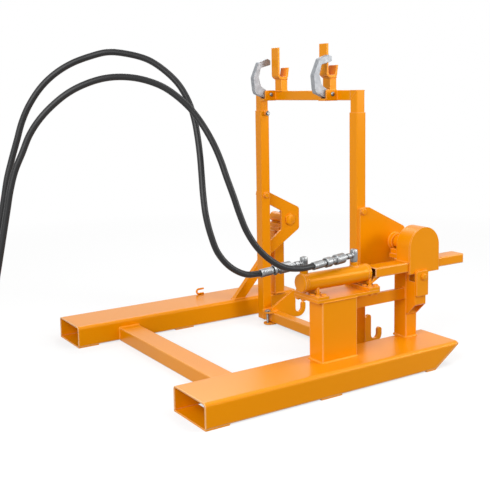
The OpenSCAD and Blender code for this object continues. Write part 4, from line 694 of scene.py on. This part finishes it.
# Tilting frame: two square posts with pivot plates on their outer sides, a lower crossbar with two axle
# hooks, and two pairs of tabs behind it. It is welded up and painted with the rest.
finish_nodes(enamel, "near_pivot_plate", "far_pivot_plate", "outer_posts", "crossbar_lugs", "axle_hooks")
finish_nodes(tube_enamel, "lower_crossbar")
POST_BACK, POST_FRONT, POST_INNER_Y, POST_OUTER_Y = 196.5, 236.5, 270, 310
CROSSBAR_BOTTOM, CROSSBAR_TOP = 10, 50
PLATE_BACK, PLATE_BOTTOM_Z, PLATE_TOP_Z, PLATE_OUTER_Y = 202.5, 230, 528, 320
TAB_X, TAB_ENDS_Y = 207.5, (196, 244)
HOOK_SIDES_Y, HOOK_BACK = (227, 237), 211
COLLAR_RADIUS, COLLAR_LENGTH, SHAFT_RADIUS, STUB_START_Y = 29, 15.7, 16, 304
tilt_welds = []
for side in (-1, 1):
    outer = side * POST_OUTER_Y
    tilt_welds += [
        bead(box_path((POST_BACK, CROSSBAR_BOTTOM + 0.5), (POST_FRONT, CROSSBAR_TOP - 0.5), 1,
                      side * POST_INNER_Y), Y_AXIS, size=4),
        bead([[PLATE_BACK, outer, z] for z in (PLATE_BOTTOM_Z, PLATE_TOP_Z)], X_AXIS, size=2.2),
        bead([[POST_FRONT, outer, z] for z in (PLATE_BOTTOM_Z + 32, PLATE_TOP_Z - 12)], X_AXIS, size=4),
        bead([[TAB_X, side * y, CROSSBAR_TOP] for y in TAB_ENDS_Y], Z_AXIS, size=3),
    ]
    for y in HOOK_SIDES_Y:
        corners = [(HOOK_BACK, CROSSBAR_TOP), (POST_FRONT, CROSSBAR_TOP), (POST_FRONT, CROSSBAR_BOTTOM + 2)]
        tilt_welds.append(bead([[x, side * y, z] for x, z in corners], Y_AXIS, size=3.2))
spin = np.linspace(0, 2 * math.pi, 73)
circle = np.stack([PIVOT_X + COLLAR_RADIUS * np.cos(spin), np.full(len(spin), -PLATE_OUTER_Y),
                   PIVOT_Z + COLLAR_RADIUS * np.sin(spin)], axis=1)
tilt_welds.append(bead(circle, Y_AXIS, size=3.5))
# These welds are drawn in the lighter enamel, a painted highlight.
make_piece("tilt_frame_welds", tilt_welds, weld_enamel_painted_lighter, "tilt_frame", sharp=60)
collar = make_piece("drive_collar", [turned((PIVOT_X, -PLATE_OUTER_Y - COLLAR_LENGTH, PIVOT_Z), Y_AXIS, [
    (0, SHAFT_RADIUS), (0, COLLAR_RADIUS - 1.4), (1.4, COLLAR_RADIUS), (COLLAR_LENGTH, COLLAR_RADIUS),
    (COLLAR_LENGTH, SHAFT_RADIUS), (0, SHAFT_RADIUS)], sides=72)], enamel, "tilt_frame")
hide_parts("shaft_collar")
stub_start = (PIVOT_X, STUB_START_Y, PIVOT_Z)
stub = make_piece("far_stub", [
    turned(stub_start, Y_AXIS, [(0, 21), (0.8, 22.2), (2.6, 25.4), (6, 25.4)], flats=44, sides=72),
    turned(stub_start, Y_AXIS, [(5, SHAFT_RADIUS), (121.5, SHAFT_RADIUS), (123, 14.5)], sides=72),
], enamel, "tilt_frame")
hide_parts("far_stub_shaft")
PLATE_BOLT_X, PLATE_BOLT_Z, PLATE_BOLT_GRIP, PLATE_BOLT_FLATS = 216.5, 517, 50, 19
plate_bolts = []
for start in (-PLATE_OUTER_Y, POST_INNER_Y):
    place = (PLATE_BOLT_X, start, PLATE_BOLT_Z)
    nut_place = (PLATE_BOLT_X, start + PLATE_BOLT_GRIP, PLATE_BOLT_Z)
    plate_bolts += bolt_head(place, (0, -1, 0), PLATE_BOLT_FLATS, height=8)
    plate_bolts += bolt_head(nut_place, Y_AXIS, PLATE_BOLT_FLATS, height=10)
    plate_bolts.append(threaded_end(place, Y_AXIS, start=PLATE_BOLT_GRIP, end=62, radius=6))
plate_bolts = make_piece("pivot_plate_bolts", plate_bolts, enamel, "tilt_frame")
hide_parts("plate_bolts")

# Bolts of the tilting frame: an upright zinc-plated bolt through each pair of tabs, and a clamp screw
# through each post that holds the sliding frame at its height.
TAB_BOLT_X, TAB_BOLT_Y, TAB_BOLT_Z = 182.5, 220, 56
SCREW_X, SCREW_Y, SCREW_HEAD_Y, SCREW_Z = 221.5, 262, 256, 843
lug_bolts, clamp_screws = [], []
for side in (-1, 1):
    lug = (TAB_BOLT_X, side * TAB_BOLT_Y, TAB_BOLT_Z)
    lug_bolts += bolt_head(lug, Z_AXIS, flats=17, height=6)
    lug_bolts.append(threaded_end(lug, DOWN, start=-1, end=52, radius=5))
    screw = (SCREW_X, side * SCREW_Y, SCREW_Z)
    head = (SCREW_X, side * SCREW_HEAD_Y, SCREW_Z)
    inward = (0, -side, 0)
    clamp_screws.append(turned(screw, inward, chamfered(-25.2, 8, radius=4)))
    clamp_screws += bolt_head(head, inward, flats=13, height=6, washer=0.8)
lug_bolts = make_piece("tab_bolts", lug_bolts, zinc, "tilt_frame")
clamp_screws = make_piece("clamp_screws", clamp_screws, zinc, "tilt_frame")
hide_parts("lug_bolts")
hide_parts("post_clamp_screws")

# Top frame: a goalpost of square tube that slides in the posts, with two bent cradles for the bin's rim
# and a clevis for each claw.
finish_nodes(enamel, "sliding_frame", "rim_cradles", "claw_clevises")
BAR_BACK, BAR_FRONT, BAR_TOP, BAR_BOTTOM = 199, 234, 930, 895
MITRE_INNER_Y, MITRE_OUTER_Y = 273.5, 306.5
CRADLE_Y, CRADLE_HALF, CRADLE_SEAT_Z = 147, 20, 975
CRADLE_FOOT_X, CRADLE_SEAT_X = (197.5, 224.5), (197, 224)
CLEVIS_Y, CLEVIS_HALF = 186, 18
top_welds = []
for side in (-1, 1):
    for x in (BAR_BACK, BAR_FRONT):
        top_welds.append(bead([[x, side * MITRE_INNER_Y, BAR_BOTTOM + 1],
                               [x, side * MITRE_OUTER_Y, BAR_TOP - 1]], X_AXIS, size=1.3))
    cradle_y = (side * CRADLE_Y - CRADLE_HALF, side * CRADLE_Y + CRADLE_HALF)
    top_welds += [bead(box_path(*zip(CRADLE_FOOT_X, cradle_y), 2, BAR_TOP), Z_AXIS, size=3.2),
                  bead(box_path(*zip(CRADLE_SEAT_X, cradle_y), 2, CRADLE_SEAT_Z), Z_AXIS, size=3)]
    for y in (side * CLEVIS_Y - CLEVIS_HALF, side * CLEVIS_Y + CLEVIS_HALF):
        top_welds.append(bead([[BAR_BACK, y, z] for z in (BAR_BOTTOM + 1, BAR_TOP - 1)], X_AXIS, size=2.8))
# These welds are drawn in the lighter enamel, a painted highlight.
make_piece("top_frame_welds", top_welds, weld_enamel_painted_lighter, "top_frame", sharp=60)
CLAW_PIVOT_X, CLAW_PIVOT_Z = 178.5, 917.5
claw_bolts = []
for side in (-1, 1):
    start = side * CLEVIS_Y - CLEVIS_HALF
    near_cheek = (CLAW_PIVOT_X, start, CLAW_PIVOT_Z)
    far_cheek = (CLAW_PIVOT_X, start + 2 * CLEVIS_HALF, CLAW_PIVOT_Z)
    claw_bolts += [turned(near_cheek, (0, -1, 0), [
                       (-1, 7.5), (1.4, 7.5), (3, 6.6), (4.2, 4.8), (4.8, 2.8), (5, 1)]),
                   turned(near_cheek, Y_AXIS, chamfered(-1, 44, radius=6)),
                   *bolt_head(far_cheek, Y_AXIS, flats=18, height=6, washer=1.5)]
claw_bolts = make_piece("claw_bolts", claw_bolts, zinc, "top_frame")
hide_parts("claw_pivot_bolts")

# Claws: hooked arms cut from 20 mm plate and hot-dip galvanised. They swing on their bolts and drop over
# the bin's rim.

# Galvanised steel: matt silver-grey with zinc crystals 10 to 20 mm across in two greys, and small runs.
galvanised, tree = new_finish("hot_dip_galvanised_steel")
place = add(tree, "ShaderNodeTexCoord").outputs["Object"]
crystal = add(tree, "ShaderNodeTexVoronoi", {"Vector": place, "Scale": 90}).outputs["Color"]
bloom = add(tree, "ShaderNodeTexNoise", {"Vector": place, "Scale": 40, "Detail": 5}).outputs["Fac"]
lumps = add(tree, "ShaderNodeTexNoise", {"Vector": place, "Scale": 130, "Detail": 2}).outputs["Fac"]
spangle = add(tree, "ShaderNodeMix", {SHARE: crystal, LOW: linear("#84878C"), HIGH: linear("#A9ACB0")},
              data_type="RGBA").outputs[MIXED]
tone = add(tree, "ShaderNodeMix", {SHARE: bloom, LOW: spangle, HIGH: linear("#96999D")},
           data_type="RGBA").outputs[MIXED]
dull = add(tree, "ShaderNodeMapRange", {"Value": bloom, "To Min": 0.4, "To Max": 0.62}).outputs[0]
edge = add(tree, "ShaderNodeBevel", {"Radius": 0.002}, samples=6).outputs[0]
depth = add(tree, "ShaderNodeBump", {"Height": lumps, "Strength": 0.25, "Distance": 0.0006,
            "Normal": edge}).outputs[0]
dipped = add(tree, "ShaderNodeBsdfPrincipled", {"Base Color": tone, "Metallic": 0.5, "Roughness": dull,
             "Normal": depth})
add(tree, "ShaderNodeOutputMaterial", {"Surface": dipped.outputs[0]})
finish_nodes(galvanised, "near_claw", "far_claw")

# Floor, light and world: a plain pale floor, a broad soft lamp on the left, a smaller one on the right,
# weak ones above and behind, and even light from all round. To the camera and to reflections the floor
# keeps the shadow and fades to white, and the world is white.
FLOOR_HALF, FADE_START, FADE_END = 40, 1, 3.5
LAMPS = [
    ("key_light", (-2.9, -1.7, 2), (0, 0, 0.4), 2.2, 102),
    ("top_light", (1, -1.1, 3), (0, -0.1, 0.3), 1, 16),
    ("back_light", (0.9, 2.4, 2.3), (0.2, -0.2, 0.4), 1.2, 20),
    ("fill_light", (2.2, -2.4, 1.4), (0.2, -0.4, 0.35), 0.9, 41),
]


def seen_directly(tree):
    """One for a ray from the camera, off a glossy surface or through a clear one, and else zero."""
    path = add(tree, "ShaderNodeLightPath").outputs
    seen = add(tree, "ShaderNodeMath", {0: path["Is Camera Ray"], 1: path["Is Glossy Ray"]},
               operation="ADD").outputs[0]
    return add(tree, "ShaderNodeMath", {0: seen, 1: path["Is Transmission Ray"]},
               operation="ADD", use_clamp=True).outputs[0]


floor_finish, tree = new_finish("pale_floor")
place = add(tree, "ShaderNodeTexCoord").outputs["Object"]
away = add(tree, "ShaderNodeVectorMath", {0: place}, operation="LENGTH").outputs["Value"]
fade = add(tree, "ShaderNodeMapRange", {"Value": away, "From Min": FADE_START, "From Max": FADE_END,
           "To Min": 0.7, "To Max": 1}).outputs[0]
matt = add(tree, "ShaderNodeBsdfDiffuse", {"Color": linear("#747473")}).outputs[0]
pale = add(tree, "ShaderNodeBsdfDiffuse", {"Color": linear("#FFFFFF")}).outputs[0]
white = add(tree, "ShaderNodeEmission", {"Color": linear("#FFFFFF"), "Strength": 1}).outputs[0]
shown = add(tree, "ShaderNodeMixShader", {0: fade, 1: pale, 2: white}).outputs[0]
mixed = add(tree, "ShaderNodeMixShader", {0: seen_directly(tree), 1: matt, 2: shown}).outputs[0]
add(tree, "ShaderNodeOutputMaterial", {"Surface": mixed})
floor_mesh = bpy.data.meshes.new("floor")
corners = [(x * FLOOR_HALF, y * FLOOR_HALF, 0) for x, y in ((-1, -1), (1, -1), (1, 1), (-1, 1))]
floor_mesh.from_pydata(corners, [], [(0, 1, 2, 3)])
floor_mesh.materials.append(floor_finish)
floor = bpy.data.objects.new("floor", floor_mesh)
bpy.context.scene.collection.objects.link(floor)
for name, place, aim, size, watts in LAMPS:
    lamp = bpy.data.objects.new(name, bpy.data.lights.new(name, "AREA"))
    lamp.data.size = size
    lamp.data.energy = watts
    toward = unit(np.array(aim) - np.array(place))
    aside = unit(np.cross(toward, (0, 0, 1)))
    lamp.matrix_world = Matrix.Translation(place) @ Matrix(
        np.stack([aside, np.cross(aside, toward), -toward], axis=1).tolist()).to_4x4()
    bpy.context.scene.collection.objects.link(lamp)
world = bpy.data.worlds.new("white_room")
bpy.context.scene.world = world
world.use_nodes = True
tree = world.node_tree
tree.nodes.clear()
room = add(tree, "ShaderNodeBackground", {"Color": linear("#FFFFFF"), "Strength": 0.5}).outputs[0]
wall = add(tree, "ShaderNodeBackground", {"Color": linear("#FFFFFF"), "Strength": 1}).outputs[0]
mixed = add(tree, "ShaderNodeMixShader", {0: seen_directly(tree), 1: room, 2: wall}).outputs[0]
add(tree, "ShaderNodeOutputWorld", {"Surface": mixed})
bpy.context.scene.view_settings.view_transform = "Standard"
